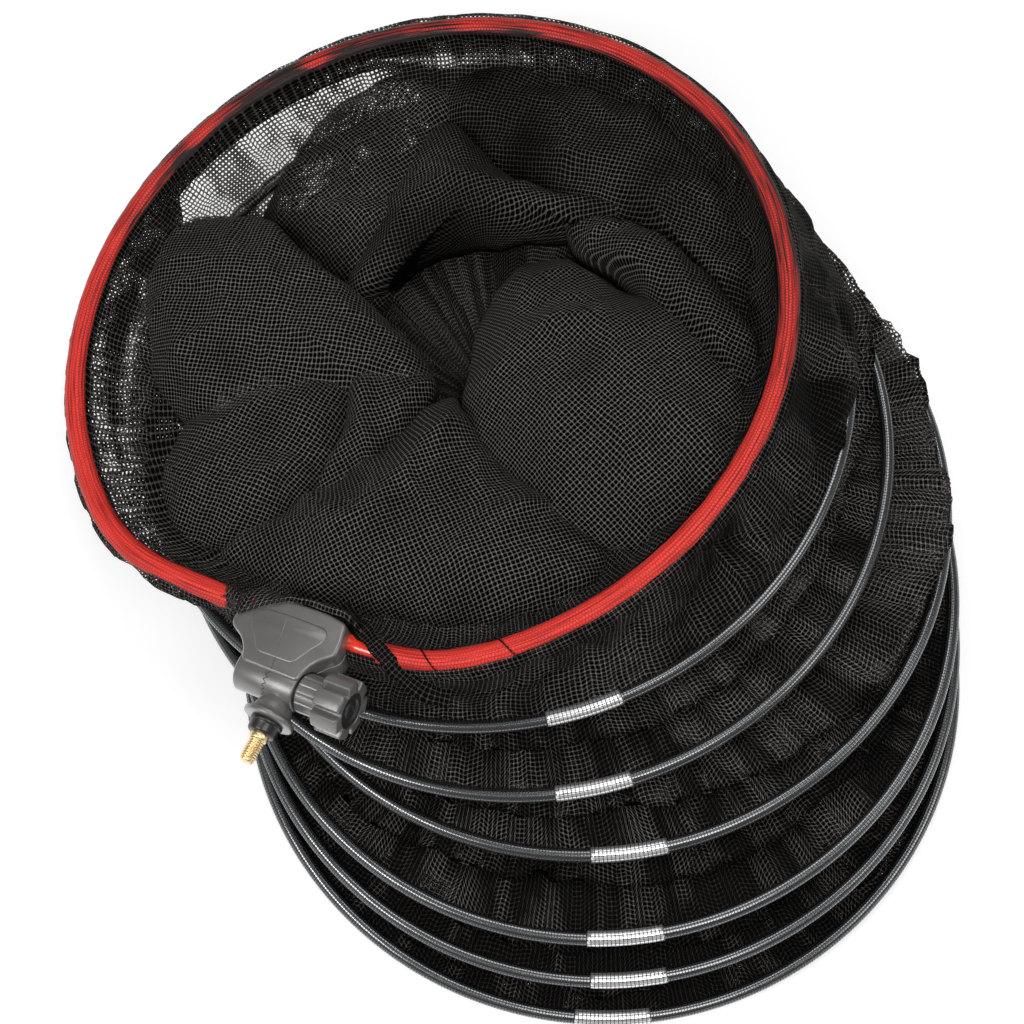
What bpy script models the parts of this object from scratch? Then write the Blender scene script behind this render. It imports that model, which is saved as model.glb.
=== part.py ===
"""Keep net, collapsed on the ground.

A tubular net hangs from a red mouth ring and is held open by six hoops. It is
drawn down into a leaning stack. The ring carries a moulded angle block whose
stud half turns on a toothed face and is locked by a lobed hand knob.

The floor is z = 0 and the origin is the centre of the lowest hoop. The stack
leans towards -X and +Y, and each higher hoop tilts a little more.
"""
import math

import bmesh
import bpy
from mathutils import Matrix, Vector

# Hoops and ring
HOOP_RADIUS = 0.214
HOOP_TUBE_RADIUS = 0.0035
HOOP_END_GAP = 0.0008
HOOP_TILT_STEP = math.radians(2.1)
HOOP_RISE = 0.0180
TILT_HEADING = math.radians(-31.3)
LEAN_SHARES = ((0.0, 0.0), (-0.009, 0.082), (-0.019, 0.175), (-0.042, 0.381),
               (-0.206, 0.519), (-0.313, 0.682))
RING_OVER_HOOP = 0.0045
RING_RADIUS = HOOP_RADIUS + RING_OVER_HOOP
RING_TUBE_RADIUS = 0.006
RING_FLAT_INSET = 0.0215
RING_FLAT_DISTANCE = RING_RADIUS - RING_FLAT_INSET
RING_TILT = math.radians(15.4)
RING_TILT_HEADING = math.radians(-29.3)
RING_LEAN_SHARES = (-0.5, 0.794)
RING_RISE = 0.0382
RING_CORNER_POWER = 30

# Ferrules that join each hoop's ends
FERRULE_LENGTH = 0.045
FERRULE_RADIUS = 0.0044
FERRULE_WALL = 0.0006
FERRULE_CLEAR_SHARE = 1.2
FERRULE_HEADINGS = tuple(math.radians(a) for a in (-75, -80, -84, -86, -86, -89))

# Net cloth
CLOTH = 0.001
SEAT_GAP = 0.0003
HEM_WALL = 0.0006
HEM_GAP = 0.0006
HEM_LEFT_CLEARANCE = 0.006
HEM_RIGHT_CLEARANCE = 0.024
HEM_SIGHT_STEP = 0.01
FOLD_DEPTH = 0.020
FOLD_WAVE_SHARE = 0.35
FOLD_COUNT = 9
HOLE_RADIUS = 0.038
HOLE_EDGE_RADIUS = 0.061
HOLE_OFFSET = (0.022, 0.010)
HOLE_FLOOR_RISE = 0.012
HOLE_EDGE_DROP = 0.030
# Each lobe: heading of its crest from the hole, the crest's height over the
# ring's plane, and half of the angle that the lobe takes up
LOBES = ((-35, 0.008, 38), (-100, 0.004, 36), (-150, 0.0, 22), (172, 0.005, 26),
         (128, -0.011, 26), (84, 0.003, 24), (38, -0.004, 32))
LOBE_VALLEY = 0.014
LOBE_CREST_SHARE = 0.56
LOBE_SHOULDER_SHARE = 0.84
LOBE_SHOULDER_DROP = 0.010
LOBE_EDGE_INSET = 0.026
LOBE_EDGE_DROP = 0.013
RIM_GAP = 0.0005
SKIRT_OVERHANG = 0.009
SKIRT_DROP = 0.004

# Angle block, in its own frame: x along the barrel, y to the ring's centre,
# z along the ring's normal
BARREL_TO_RING = 0.0355
BLOCK_SLIP = 0.0223
BARREL_RADIUS = 0.0125
BARREL_LENGTH = 0.040
SEAM_X = 0.001
TOOTH_COUNT = 24
TOOTH_DEPTH = 0.0022
TOOTH_GAP = 0.0003
SHIELD_TOP = 0.0140
SHIELD_BOTTOM = -0.0100
SHIELD_ROUND = 0.0016
# Shield corners, as shares of the barrel's length and of the shield's depth
SHIELD_SHAPE = ((-0.46, 0.0), (0.5, 0.0), (0.56, 0.30), (0.66, 0.43), (0.8475, 0.50), (0.8675, 0.56),
                (0.8675, 0.80), (0.74, 0.96), (0.45, 1.0), (-0.25, 1.0), (-0.52, 0.93), (-0.735, 0.78),
                (-0.815, 0.62), (-0.815, 0.46), (-0.66, 0.34), (-0.54, 0.20))
PANEL_RISE = 0.0006
PANEL_INSET = 0.0052
SOCKET_GAP = 0.0003
SOCKET_WEB = 0.004
SOCKET_OVERRUN = 0.006
SOCKET_STEPS = 6
RING_END_GAP = 0.0006
GRUB_RADIUS = 0.002
GRUB_SPREAD = 0.013
GRUB_HOLE_GAP = 0.0003
BOLT_RADIUS = 0.003
BOLT_HEAD_RADIUS = 0.0055
BOLT_HEAD_HEIGHT = 0.003
BOLT_HEAD_DEPTH = 0.0055
BOLT_END = 0.046
BOLT_CHAMFER = 0.0005
RUN_GAP = 0.0003
CAP_HEIGHT = 0.0018
CAP_DOME = 0.0006
BUSH_RADIUS = 0.0048
BUSH_FLANGE_RADIUS = 0.0062
BUSH_FLANGE = 0.0012
SPRING_POCKET_RADIUS = 0.0068
SPRING_POCKET_DEPTH = 0.008
SPRING_RADIUS = 0.0052
SPRING_WIRE_RADIUS = 0.0005
SPRING_TURNS = 4
SPRING_STEPS = 10
WASHER_RADIUS = 0.0105
WASHER_THICKNESS = 0.0008
NECK_X = 0.0098
NECK_WAIST_RADIUS = 0.0088
NECK_ROOT_DEPTH = 0.004
FLANGE_RADIUS = 0.0155
FLANGE_FRONT = 0.0240
FLANGE_THICKNESS = 0.0036
BOSS_RADIUS = 0.0091
BOSS_LENGTH = 0.0086
STUD_RADIUS = 0.00476
STUD_LENGTH = 0.0178
STUD_COLLAR_RADIUS = 0.0057
STUD_COLLAR_LENGTH = 0.0035
STUD_ROOT_DEPTH = 0.0080
STUD_CHAMFER = 0.0011
STUD_SHANK_INSET = 0.00037
STUD_FLUTES = 12
STUD_FLUTE_DEPTH = 0.0006
EDGE = 0.0008

# Hand knob
COLLAR_RADIUS = 0.0120
COLLAR_LENGTH = 0.0142
COLLAR_RIBS = 14
COLLAR_RIB_DEPTH = 0.0005
KNOB_RADIUS = 0.0175
KNOB_LENGTH = 0.0178
KNOB_LOBES = 7
KNOB_GROOVE_DEPTH = 0.0048
# One lobe, and one collar rib, as shares of the pitch and of the groove's depth
KNOB_LOBE_SHAPE = ((-0.31, 0.976), (-0.16, 0.995), (0.0, 1.0), (0.16, 0.995), (0.31, 0.976),
                   (0.37, 0.49), (0.43, 0.1), (0.5, 0.0), (0.57, 0.1), (0.63, 0.49))
COLLAR_RIB_SHAPE = ((-0.4, 0.0), (0.0, -0.15), (0.4, 0.0), (0.46, 1.0), (0.54, 1.0))
INSERT_RADIUS = 0.0052
CAP_POCKET_RADIUS = 0.0108
CAP_POCKET_DEPTH = 0.0030
KNOB_CAP_HEIGHT = 0.0020
KNOB_CAP_DISH_RADIUS = 0.0076
KNOB_CAP_DISH = 0.0009

# Facets
HOOP_STEPS = 40
RING_STEPS = 56
ROUND_STEPS = 24
GRUB_STEPS = 12
FERRULE_SIDES = 12
HEM_SIDES = 8
SMOOTH_ANGLE = math.radians(35)
OVERRUN = 0.002


def clear_scene():
    for item in list(bpy.data.objects):
        bpy.data.objects.remove(item, do_unlink=True)


def new_collection(name):
    collection = bpy.data.collections.new(name)
    bpy.context.scene.collection.children.link(collection)
    return collection


clear_scene()
PARTS = new_collection("keep_net")
CUTTERS = new_collection("cutters")
CUTTERS.hide_render = True


def principled(name, colour, roughness, metallic=0.0):
    material = bpy.data.materials.new(name)
    material.use_nodes = True
    shader = material.node_tree.nodes["Principled BSDF"]
    shader.inputs["Base Color"].default_value = (*colour, 1.0)
    shader.inputs["Roughness"].default_value = roughness
    shader.inputs["Metallic"].default_value = metallic
    return material


def finish(name, bm, look, parent=None):
    """Make one object from a bmesh, with its own material."""
    bmesh.ops.recalc_face_normals(bm, faces=bm.faces)
    mesh = bpy.data.meshes.new(name)
    bm.to_mesh(mesh)
    bm.free()
    item = bpy.data.objects.new(name, mesh)
    PARTS.objects.link(item)
    if parent:
        item.parent = parent
    if look:
        mesh.materials.append(principled(name + "_finish", *look))
    mesh.shade_smooth()
    mesh.set_sharp_from_angle(angle=SMOOTH_ANGLE)
    return item


def empty(name, matrix):
    item = bpy.data.objects.new(name, None)
    item.matrix_world = matrix
    PARTS.objects.link(item)
    return item


def cutter(item):
    """Turn an object into a hidden cutting tool."""
    for collection in item.users_collection:
        collection.objects.unlink(item)
    CUTTERS.objects.link(item)
    item.hide_render = True
    item.display_type = "WIRE"
    return item


def combine(item, tool, operation):
    """Join or cut with an exact Boolean, leaving the tool as a hidden cutter."""
    cutter(tool)
    modifier = item.modifiers.new(operation.lower() + "_" + tool.name, "BOOLEAN")
    modifier.operation = operation
    modifier.solver = "EXACT"
    modifier.object = tool


def turned_mesh(profile, steps=ROUND_STEPS):
    """Turn a profile of (x, radius) points about X. A profile whose ends are
    off the axis is closed into a loop, and so keeps a bore."""
    bm = bmesh.new()
    verts = [bm.verts.new((x, radius, 0.0)) for x, radius in profile]
    edges = [bm.edges.new(pair) for pair in zip(verts, verts[1:])]
    if profile[0][1] > 0.0:
        edges.append(bm.edges.new((verts[-1], verts[0])))
    bmesh.ops.spin(bm, geom=verts + edges, axis=(1, 0, 0), cent=(0, 0, 0),
                   angle=math.tau, steps=steps, use_merge=True)
    bmesh.ops.remove_doubles(bm, verts=bm.verts, dist=1e-7)
    return bm


def turned(name, profile, look, parent, steps=ROUND_STEPS):
    return finish(name, turned_mesh(profile, steps), look, parent)


def rod(start, end, radius):
    """Profile of a plain cylinder along X."""
    return [(start, 0.0), (start, radius), (end, radius), (end, 0.0)]


def prism(name, outline, start, end, look, parent, axis="X"):
    """Extrude an outline, given as pairs, from start to end along X or Z."""
    bm = bmesh.new()
    if axis == "X":
        verts = [bm.verts.new((start, a, b)) for a, b in outline]
        step = Vector((end - start, 0, 0))
    else:
        verts = [bm.verts.new((a, b, start)) for a, b in outline]
        step = Vector((0, 0, end - start))
    face = bm.faces.new(verts)
    made = bmesh.ops.extrude_face_region(bm, geom=[face], use_keep_orig=True)
    moved = [v for v in made["geom"] if isinstance(v, bmesh.types.BMVert)]
    bmesh.ops.translate(bm, verts=moved, vec=step)
    return finish(name, bm, look, parent)


def tube(name, points, radius, look, parent=None):
    """A round tube along points, as a curve whose welded mesh is kept."""
    curve = bpy.data.curves.new(name, "CURVE")
    curve.dimensions = "3D"
    curve.bevel_depth = radius
    curve.bevel_resolution = 2
    curve.use_fill_caps = True
    spline = curve.splines.new("POLY")
    spline.points.add(len(points) - 1)
    for point, place in zip(spline.points, points):
        point.co = (*place, 1.0)
    source = bpy.data.objects.new(name + "_path", curve)
    bpy.context.scene.collection.objects.link(source)
    graph = bpy.context.evaluated_depsgraph_get()
    mesh = bpy.data.meshes.new_from_object(source.evaluated_get(graph))
    bm = bmesh.new()
    bm.from_mesh(mesh)
    bmesh.ops.remove_doubles(bm, verts=bm.verts, dist=1e-6)
    bpy.data.objects.remove(source, do_unlink=True)
    bpy.data.meshes.remove(mesh)
    return finish(name, bm, look, parent)


def loft(rows):
    """An open surface through closed rows of points, all of one count."""
    bm = bmesh.new()
    place = bm.verts.layers.int.new("place")
    circle = bmesh.ops.create_circle(bm, segments=len(rows[0]), radius=1.0)["verts"]
    for index, vert in enumerate(circle):
        vert[place] = index
        vert.co = rows[0][index]
    edges = bm.edges[:]
    for row in rows[1:]:
        made = bmesh.ops.extrude_edge_only(bm, edges=edges)["geom"]
        verts = {v for v in made if isinstance(v, bmesh.types.BMVert)}
        for vert in verts:
            vert.co = row[vert[place]]
        edges = [e for e in bm.edges if e.verts[0] in verts and e.verts[1] in verts]
    return bm


def shell(name, bm, thickness, look, parent=None, offset=0.0):
    """Give an open surface its thickness."""
    item = finish(name, bm, look, parent)
    wall = item.modifiers.new("wall", "SOLIDIFY")
    wall.thickness = thickness
    wall.offset = offset
    wall.use_even_offset = False
    return item


def tilted_frame(centre, tilt, heading):
    """Matrix of a level circle tilted so that it rises towards a heading."""
    axis = (-math.sin(heading), math.cos(heading), 0.0)
    return Matrix.Translation(centre) @ Matrix.Rotation(-tilt, 4, axis)


def hoop_frame(number):
    """Frame of a hoop, 6 at the floor to 1 under the mouth ring."""
    rank = 6 - number
    share_x, share_y = LEAN_SHARES[rank]
    lift = CLOTH + SEAT_GAP + FERRULE_RADIUS
    centre = (share_x * HOOP_RADIUS, share_y * HOOP_RADIUS, lift + rank * HOOP_RISE)
    return tilted_frame(centre, rank * HOOP_TILT_STEP, TILT_HEADING)


def circle_point(frame, radius, heading, rise=0.0):
    return frame @ Vector((radius * math.cos(heading), radius * math.sin(heading), rise))


HOOP_FRAMES = {number: hoop_frame(number) for number in range(1, 7)}
TOP_HOOP_HEIGHT = HOOP_FRAMES[1].translation.z
RING_FRAME = tilted_frame((RING_LEAN_SHARES[0] * HOOP_RADIUS, RING_LEAN_SHARES[1] * HOOP_RADIUS,
                           TOP_HOOP_HEIGHT + RING_RISE), RING_TILT, RING_TILT_HEADING)
BLOCK_HEADING = math.radians(-116.4)


def plane_height(frame, x, y):
    """Height of a tilted frame's plane above a place on the floor."""
    normal = frame.to_3x3() @ Vector((0, 0, 1))
    centre = frame.translation
    return centre.z - (normal.x * (x - centre.x) + normal.y * (y - centre.y)) / normal.z


def block_directions():
    """Outward, along-barrel and up directions at the angle block."""
    normal = RING_FRAME.to_3x3() @ Vector((0, 0, 1))
    level = Vector((math.cos(BLOCK_HEADING), math.sin(BLOCK_HEADING), 0.0))
    outward = (level - level.dot(normal) * normal).normalized()
    return outward, normal.cross(outward), normal


OUTWARD, ALONG, UP = block_directions()


def ring_radius(angle):
    """A circle flattened to a chord where it passes through the block."""
    chord = math.cos(angle)
    if chord <= 0.0:
        return RING_RADIUS
    power = RING_CORNER_POWER
    return (RING_RADIUS ** -power + (RING_FLAT_DISTANCE / chord) ** -power) ** (-1.0 / power)


def ring_point(angle, stretch=0.0, rise=0.0):
    """Point on the mouth ring, at an angle from the block's direction."""
    radius = ring_radius(angle) + stretch
    flat = math.cos(angle) * OUTWARD + math.sin(angle) * ALONG
    return RING_FRAME.translation + radius * flat + rise * UP


def block_matrix():
    place = (RING_FRAME.translation + (RING_FLAT_DISTANCE + BARREL_TO_RING) * OUTWARD
             + BLOCK_SLIP * ALONG)
    turn = Matrix((ALONG, -OUTWARD, UP)).transposed().to_4x4()
    return Matrix.Translation(place) @ turn


BLOCK = empty("block_frame", block_matrix())

# Looks: colour, roughness, metallic
BLACK_MESH = ((0.035, 0.034, 0.031), 0.85)
HOOP_BLACK = ((0.02, 0.02, 0.022), 0.25)
RED_LACQUER = ((0.55, 0.02, 0.015), 0.3)
GREY_PLASTIC = ((0.10, 0.10, 0.10), 0.5)
BOSS_PLASTIC = ((0.04, 0.04, 0.045), 0.4)
BRASS = ((0.75, 0.55, 0.24), 0.28, 1.0)
STEEL = ((0.6, 0.6, 0.6), 0.35, 1.0)


def round_row(centre, side, up, radius, count):
    """Points of a circle in the plane of two directions."""
    turns = [math.tau * k / count for k in range(count)]
    return [centre + radius * (math.cos(a) * side + math.sin(a) * up) for a in turns]


def make_hoop(number):
    frame = HOOP_FRAMES[number]
    start = FERRULE_HEADINGS[number - 1]
    slack = HOOP_END_GAP / HOOP_RADIUS
    span = math.tau - slack
    headings = [start + slack / 2 + span * step / HOOP_STEPS for step in range(HOOP_STEPS + 1)]
    tube(f"hoop_{number}", [circle_point(frame, HOOP_RADIUS, a) for a in headings],
         HOOP_TUBE_RADIUS, HOOP_BLACK)
    make_ferrule(number, frame, start)


def make_ferrule(number, frame, middle):
    """A bored sleeve over the hoop's meeting ends, bent to the hoop's curve."""
    share = FERRULE_LENGTH / 2 / (HOOP_RADIUS * math.tau / HOOP_STEPS)
    joint = circle_point(frame, HOOP_RADIUS, middle)
    rows = []
    for turn in (-1, 0, 1):
        facet_end = circle_point(frame, HOOP_RADIUS, middle + turn * math.tau / HOOP_STEPS)
        centre = joint.lerp(facet_end, share)
        side = (centre - frame.translation).normalized()
        up = frame.to_3x3() @ Vector((0, 0, 1))
        rows.append(round_row(centre, side, up, FERRULE_RADIUS, FERRULE_SIDES))
    shell(f"ferrule_{number}", loft(rows), FERRULE_WALL, STEEL, offset=-1.0)


def cloth_seat(number, heading):
    """Distance of the cloth's middle from a hoop's centre line, over its
    ferrule or its bare tube."""
    away = abs(math.remainder(heading - FERRULE_HEADINGS[number - 1], math.tau))
    over_ferrule = away < FERRULE_CLEAR_SHARE * FERRULE_LENGTH / HOOP_RADIUS
    return (FERRULE_RADIUS if over_ferrule else HOOP_TUBE_RADIUS) + SEAT_GAP + CLOTH / 2


def make_panel(number):
    """The cloth between one hoop and the hoop above it, folded in once."""
    upper = HOOP_FRAMES[number - 1]
    lower = HOOP_FRAMES[number]
    top, fold, bottom = [], [], []
    for step in range(HOOP_STEPS):
        heading = math.tau * step / HOOP_STEPS
        high = circle_point(upper, HOOP_RADIUS, heading, -cloth_seat(number - 1, heading))
        low = circle_point(lower, HOOP_RADIUS, heading, cloth_seat(number, heading))
        depth = FOLD_DEPTH * (1 + FOLD_WAVE_SHARE * math.sin(FOLD_COUNT * heading + number))
        inner_high = circle_point(upper, HOOP_RADIUS - depth, heading)
        inner_low = circle_point(lower, HOOP_RADIUS - depth, heading)
        top.append(high)
        fold.append((inner_high + inner_low) / 2)
        bottom.append(low)
    shell(f"net_panel_{number}", loft([top, fold, bottom]), CLOTH, BLACK_MESH)


def make_base():
    """The closed bottom of the net, which lies flat under the lowest hoop."""
    profile = rod(0.0, CLOTH, HOOP_RADIUS + HOOP_TUBE_RADIUS)
    item = turned("net_base", profile, BLACK_MESH, None, HOOP_STEPS)
    item.data.transform(Matrix.Rotation(math.radians(-90), 4, "Y"))


def make_mouth_net():
    """The top panel: folds in lobes round the hole, under the ring and out
    over the top hoop."""
    hole = RING_FRAME.translation + Vector((*HOLE_OFFSET, 0.0))
    top_hoop = HOOP_FRAMES[1]
    columns = []
    for step in range(HOOP_STEPS):
        angle = math.tau * step / HOOP_STEPS
        drop = rim_drop(angle)
        rim = ring_point(angle, 0.0, -drop)
        inside = ring_point(angle, -LOBE_EDGE_INSET, -drop - LOBE_EDGE_DROP)
        flat = Vector((inside.x - hole.x, inside.y - hole.y, 0.0))
        way = flat.normalized()
        floor_spot = hole + HOLE_RADIUS * way
        floor_spot.z = plane_height(top_hoop, floor_spot.x, floor_spot.y) + HOLE_FLOOR_RISE
        edge_spot = hole + HOLE_EDGE_RADIUS * way
        edge_spot.z = plane_height(RING_FRAME, edge_spot.x, edge_spot.y) - HOLE_EDGE_DROP
        rise = lobe_rise(math.atan2(way.y, way.x))
        crest = hole + LOBE_CREST_SHARE * flat
        crest.z = plane_height(RING_FRAME, crest.x, crest.y) + rise
        shoulder = hole + LOBE_SHOULDER_SHARE * flat
        shoulder.z = plane_height(RING_FRAME, shoulder.x, shoulder.y) + rise - LOBE_SHOULDER_DROP
        outer = skirt_point(angle, drop, top_hoop)
        columns.append((floor_spot, edge_spot, crest, shoulder, inside, rim, (rim + outer) / 2, outer))
    shell("net_panel_1", loft(list(zip(*columns))), CLOTH, BLACK_MESH)


def lobe_rise(heading):
    """Height of the lobes over the ring's plane at a heading from the hole."""
    rises = []
    for middle, rise, half in LOBES:
        away = math.remainder(heading - math.radians(middle), math.tau) / math.radians(half)
        rises.append(rise - LOBE_VALLEY * away * away)
    return max(rises)


def rim_drop(angle):
    """Depth of the cloth under the ring: below its hem, and lower under the block."""
    under_hem = RING_TUBE_RADIUS + HEM_GAP + HEM_WALL + CLOTH / 2 + RIM_GAP
    under_block = -SHIELD_BOTTOM + CLOTH / 2 + RIM_GAP + PANEL_RISE
    if math.cos(angle) < 0:
        return under_hem
    from_block = abs(ring_radius(angle) * math.sin(angle) - BLOCK_SLIP)
    step = math.tau * RING_RADIUS / HOOP_STEPS
    near = (SHIELD_RIGHT_X + 2 * step - from_block) / step
    share = min(1.0, max(0.0, near))
    return under_hem + (under_block - under_hem) * share


def skirt_point(angle, drop, top_hoop):
    """Outer edge of the top panel: on the top hoop where that reaches past
    the ring, and just outside the ring elsewhere."""
    short = ring_point(angle, SKIRT_OVERHANG, -drop - SKIRT_DROP)
    flat = Vector((short.x - top_hoop.translation.x, short.y - top_hoop.translation.y))
    if flat.length > HOOP_RADIUS:
        return short
    heading = math.atan2(flat.y, flat.x)
    return circle_point(top_hoop, HOOP_RADIUS, heading, cloth_seat(1, heading))


def ring_angles(start, end, steps):
    return [start + (end - start) * step / steps for step in range(steps + 1)]


def block_angle(x):
    """Angle on the ring at a place along the barrel, in the block's frame."""
    return math.atan2(BLOCK_SLIP + x, RING_FLAT_DISTANCE)


SHIELD_LEFT_X = BARREL_LENGTH * min(x for x, _ in SHIELD_SHAPE)
SHIELD_RIGHT_X = BARREL_LENGTH * max(x for x, _ in SHIELD_SHAPE)
RING_SLEEVE_LEFT = SHIELD_LEFT_X - HEM_LEFT_CLEARANCE
RING_SLEEVE_RIGHT = SHIELD_RIGHT_X + HEM_RIGHT_CLEARANCE
RING_END_X = SOCKET_WEB / 2 + RING_END_GAP
RING_ANGLES = ring_angles(block_angle(RING_END_X), math.tau + block_angle(-RING_END_X), RING_STEPS)


def make_ring():
    """The red tube, open at the block, where its ends sit in two sockets."""
    tube("mouth_ring", [ring_point(a) for a in RING_ANGLES], RING_TUBE_RADIUS, RED_LACQUER)


def make_hem():
    """The mesh sleeve round the ring, open along the bare stretch at the block."""
    start = block_angle(RING_SLEEVE_RIGHT)
    end = math.tau + block_angle(RING_SLEEVE_LEFT)
    radius = RING_TUBE_RADIUS + HEM_GAP + HEM_WALL
    rows = []
    for angle in [a for a in RING_ANGLES if start < a < end]:
        centre = ring_point(angle)
        ahead = (ring_point(angle + HEM_SIGHT_STEP) - ring_point(angle - HEM_SIGHT_STEP)).normalized()
        rows.append(round_row(centre, ahead.cross(UP), UP, radius, HEM_SIDES))
    shell("ring_hem", loft(rows), HEM_WALL, BLACK_MESH, offset=-1.0)


def tooth_height(index, radius):
    """Height of the toothed face above its mean, at one of its points."""
    side = 1 if index % 2 else -1
    return side * TOOTH_DEPTH / 2 * radius / BARREL_RADIUS


def toothed_half(name, face_x, end_x, bore):
    """A barrel half with radial teeth on one end face and a plain far end."""
    count = 2 * TOOTH_COUNT
    turns = [math.tau * k / count for k in range(count)]
    rows = []
    for radius in (bore, BARREL_RADIUS):
        rows.append([Vector((face_x + tooth_height(k, radius), radius * math.cos(a), radius * math.sin(a)))
                     for k, a in enumerate(turns)])
    for radius in (BARREL_RADIUS, bore):
        rows.append([Vector((end_x, radius * math.cos(a), radius * math.sin(a))) for a in turns])
    bm = loft(rows + rows[:1])
    bmesh.ops.remove_doubles(bm, verts=bm.verts, dist=1e-7)
    return finish(name, bm, GREY_PLASTIC, BLOCK)


def shield_outline(inset=0.0):
    """Outline of the shield over the barrel, from the left foot round."""
    back = BARREL_TO_RING + RING_TUBE_RADIUS + 2 * SHIELD_ROUND
    corner = [(x * BARREL_LENGTH, y * back) for x, y in SHIELD_SHAPE]
    if not inset:
        return corner
    middle = Vector((sum(x for x, _ in corner), sum(y for _, y in corner))) / len(corner)
    moved = []
    for x, y in corner:
        offset = Vector((x, y)) - middle
        moved.append(tuple(middle + offset * (1 - inset / offset.length)))
    return moved


def make_ring_block():
    """Shield, ring sockets and the fixed toothed half of the barrel."""
    block = prism("ring_block", shield_outline(), SHIELD_BOTTOM, SHIELD_TOP, GREY_PLASTIC, BLOCK, "Z")
    edge = block.modifiers.new("rounding", "BEVEL")
    edge.width = SHIELD_ROUND
    edge.segments = 2
    edge.limit_method = "ANGLE"
    edge.angle_limit = math.radians(60)
    raised = prism("raised_panel", shield_outline(PANEL_INSET), SHIELD_TOP - OVERRUN,
                   SHIELD_TOP + PANEL_RISE, None, BLOCK, "Z")
    combine(block, raised, "UNION")
    room = rod(SEAM_X - TOOTH_DEPTH, BARREL_LENGTH, BARREL_RADIUS + RUN_GAP)
    clearance = turned("right_half_room", room, None, BLOCK)
    combine(block, clearance, "DIFFERENCE")
    left = -BARREL_LENGTH / 2
    half = toothed_half("fixed_half", SEAM_X, left, BOLT_RADIUS + RUN_GAP)
    combine(block, half, "UNION")
    over = SEAM_X + OVERRUN
    head_radius = BOLT_HEAD_RADIUS + RUN_GAP
    for name, shape in (("spring_pocket", rod(SEAM_X - SPRING_POCKET_DEPTH, over, SPRING_POCKET_RADIUS)),
                        ("bolt_head_room", rod(left - OVERRUN, left + BOLT_HEAD_DEPTH, head_radius)),
                        ("bolt_bore", rod(left, over, BOLT_RADIUS + RUN_GAP))):
        combine(block, turned(name, shape, None, BLOCK), "DIFFERENCE")
    cut_sockets(block)
    make_grub_screws(block)


def cut_sockets(block):
    """Two blind sockets for the ring's ends, with a web left between them."""
    radius = RING_TUBE_RADIUS + SOCKET_GAP
    for name, near, far in (("left", -SOCKET_WEB / 2, SHIELD_LEFT_X - SOCKET_OVERRUN),
                            ("right", SOCKET_WEB / 2, SHIELD_RIGHT_X + SOCKET_OVERRUN)):
        points = [ring_point(a) for a in ring_angles(block_angle(near), block_angle(far), SOCKET_STEPS)]
        socket = tube(name + "_socket", points, radius, None)
        combine(block, socket, "DIFFERENCE")


def make_grub_screws(block):
    """Two set screws from below that press on the ring's ends."""
    top = RING_TUBE_RADIUS + SEAT_GAP
    bottom = -SHIELD_BOTTOM - SEAT_GAP
    socket = GRUB_RADIUS / 2
    for name, side in (("left", -1), ("right", 1)):
        place = Matrix.Translation((side * GRUB_SPREAD, BARREL_TO_RING, 0.0))
        down = place @ Matrix.Rotation(math.radians(90), 4, "Y")
        shape = rod(0.0, -SHIELD_BOTTOM + OVERRUN, GRUB_RADIUS + GRUB_HOLE_GAP)
        hole = turned(f"grub_hole_{name}", shape, None, BLOCK)
        hole.data.transform(down)
        combine(block, hole, "DIFFERENCE")
        profile = [(top, 0.0), (top, GRUB_RADIUS), (bottom, GRUB_RADIUS), (bottom, socket),
                   (bottom - socket, socket), (bottom - socket, 0.0)]
        screw = turned(f"grub_screw_{name}", profile, STEEL, BLOCK, GRUB_STEPS)
        screw.data.transform(down)


def make_pivot():
    """Bolt, end cap, release spring, bush and thrust washer on the barrel axis."""
    bore = BOLT_RADIUS + RUN_GAP
    seat = -BARREL_LENGTH / 2 + BOLT_HEAD_DEPTH - SEAT_GAP
    head = seat - BOLT_HEAD_HEIGHT
    tip = BOLT_END - BOLT_CHAMFER
    profile = [(head, 0.0), (head, BOLT_HEAD_RADIUS), (seat, BOLT_HEAD_RADIUS), (seat, BOLT_RADIUS),
               (tip, BOLT_RADIUS), (BOLT_END, BOLT_RADIUS - BOLT_CHAMFER), (BOLT_END, 0.0)]
    turned("pivot_bolt", profile, STEEL, BLOCK)
    inner = head - SEAT_GAP
    outer = inner - CAP_HEIGHT
    turned("barrel_cap", [(outer - CAP_DOME, 0.0), (outer, BOLT_HEAD_RADIUS - CAP_DOME),
                          (outer + CAP_DOME, BOLT_HEAD_RADIUS), (inner, BOLT_HEAD_RADIUS), (inner, 0.0)],
           GREY_PLASTIC, BLOCK)
    start = SEAM_X + TOOTH_DEPTH / 2 + TOOTH_GAP
    right = BARREL_LENGTH / 2
    step = start + BUSH_FLANGE
    turned("pivot_bush", [(start, bore), (start, BUSH_FLANGE_RADIUS), (step, BUSH_FLANGE_RADIUS),
                          (step, BUSH_RADIUS), (right, BUSH_RADIUS), (right, bore)], BRASS, BLOCK)
    face = right + RUN_GAP
    back = face + WASHER_THICKNESS
    turned("thrust_washer", [(face, bore), (face, WASHER_RADIUS), (back, WASHER_RADIUS), (back, bore)],
           STEEL, BLOCK)
    reach = SPRING_WIRE_RADIUS + SEAT_GAP
    make_spring(SEAM_X - SPRING_POCKET_DEPTH + reach, start - reach)


def make_spring(low, high):
    count = SPRING_TURNS * SPRING_STEPS
    points = []
    for step in range(count + 1):
        turn = math.tau * step / SPRING_STEPS
        along = low + (high - low) * step / count
        points.append((along, SPRING_RADIUS * math.cos(turn), SPRING_RADIUS * math.sin(turn)))
    tube("release_spring", points, SPRING_WIRE_RADIUS, STEEL, BLOCK)
    print("spring gap between turns", (high - low) / SPRING_TURNS - 2 * SPRING_WIRE_RADIUS)


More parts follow.
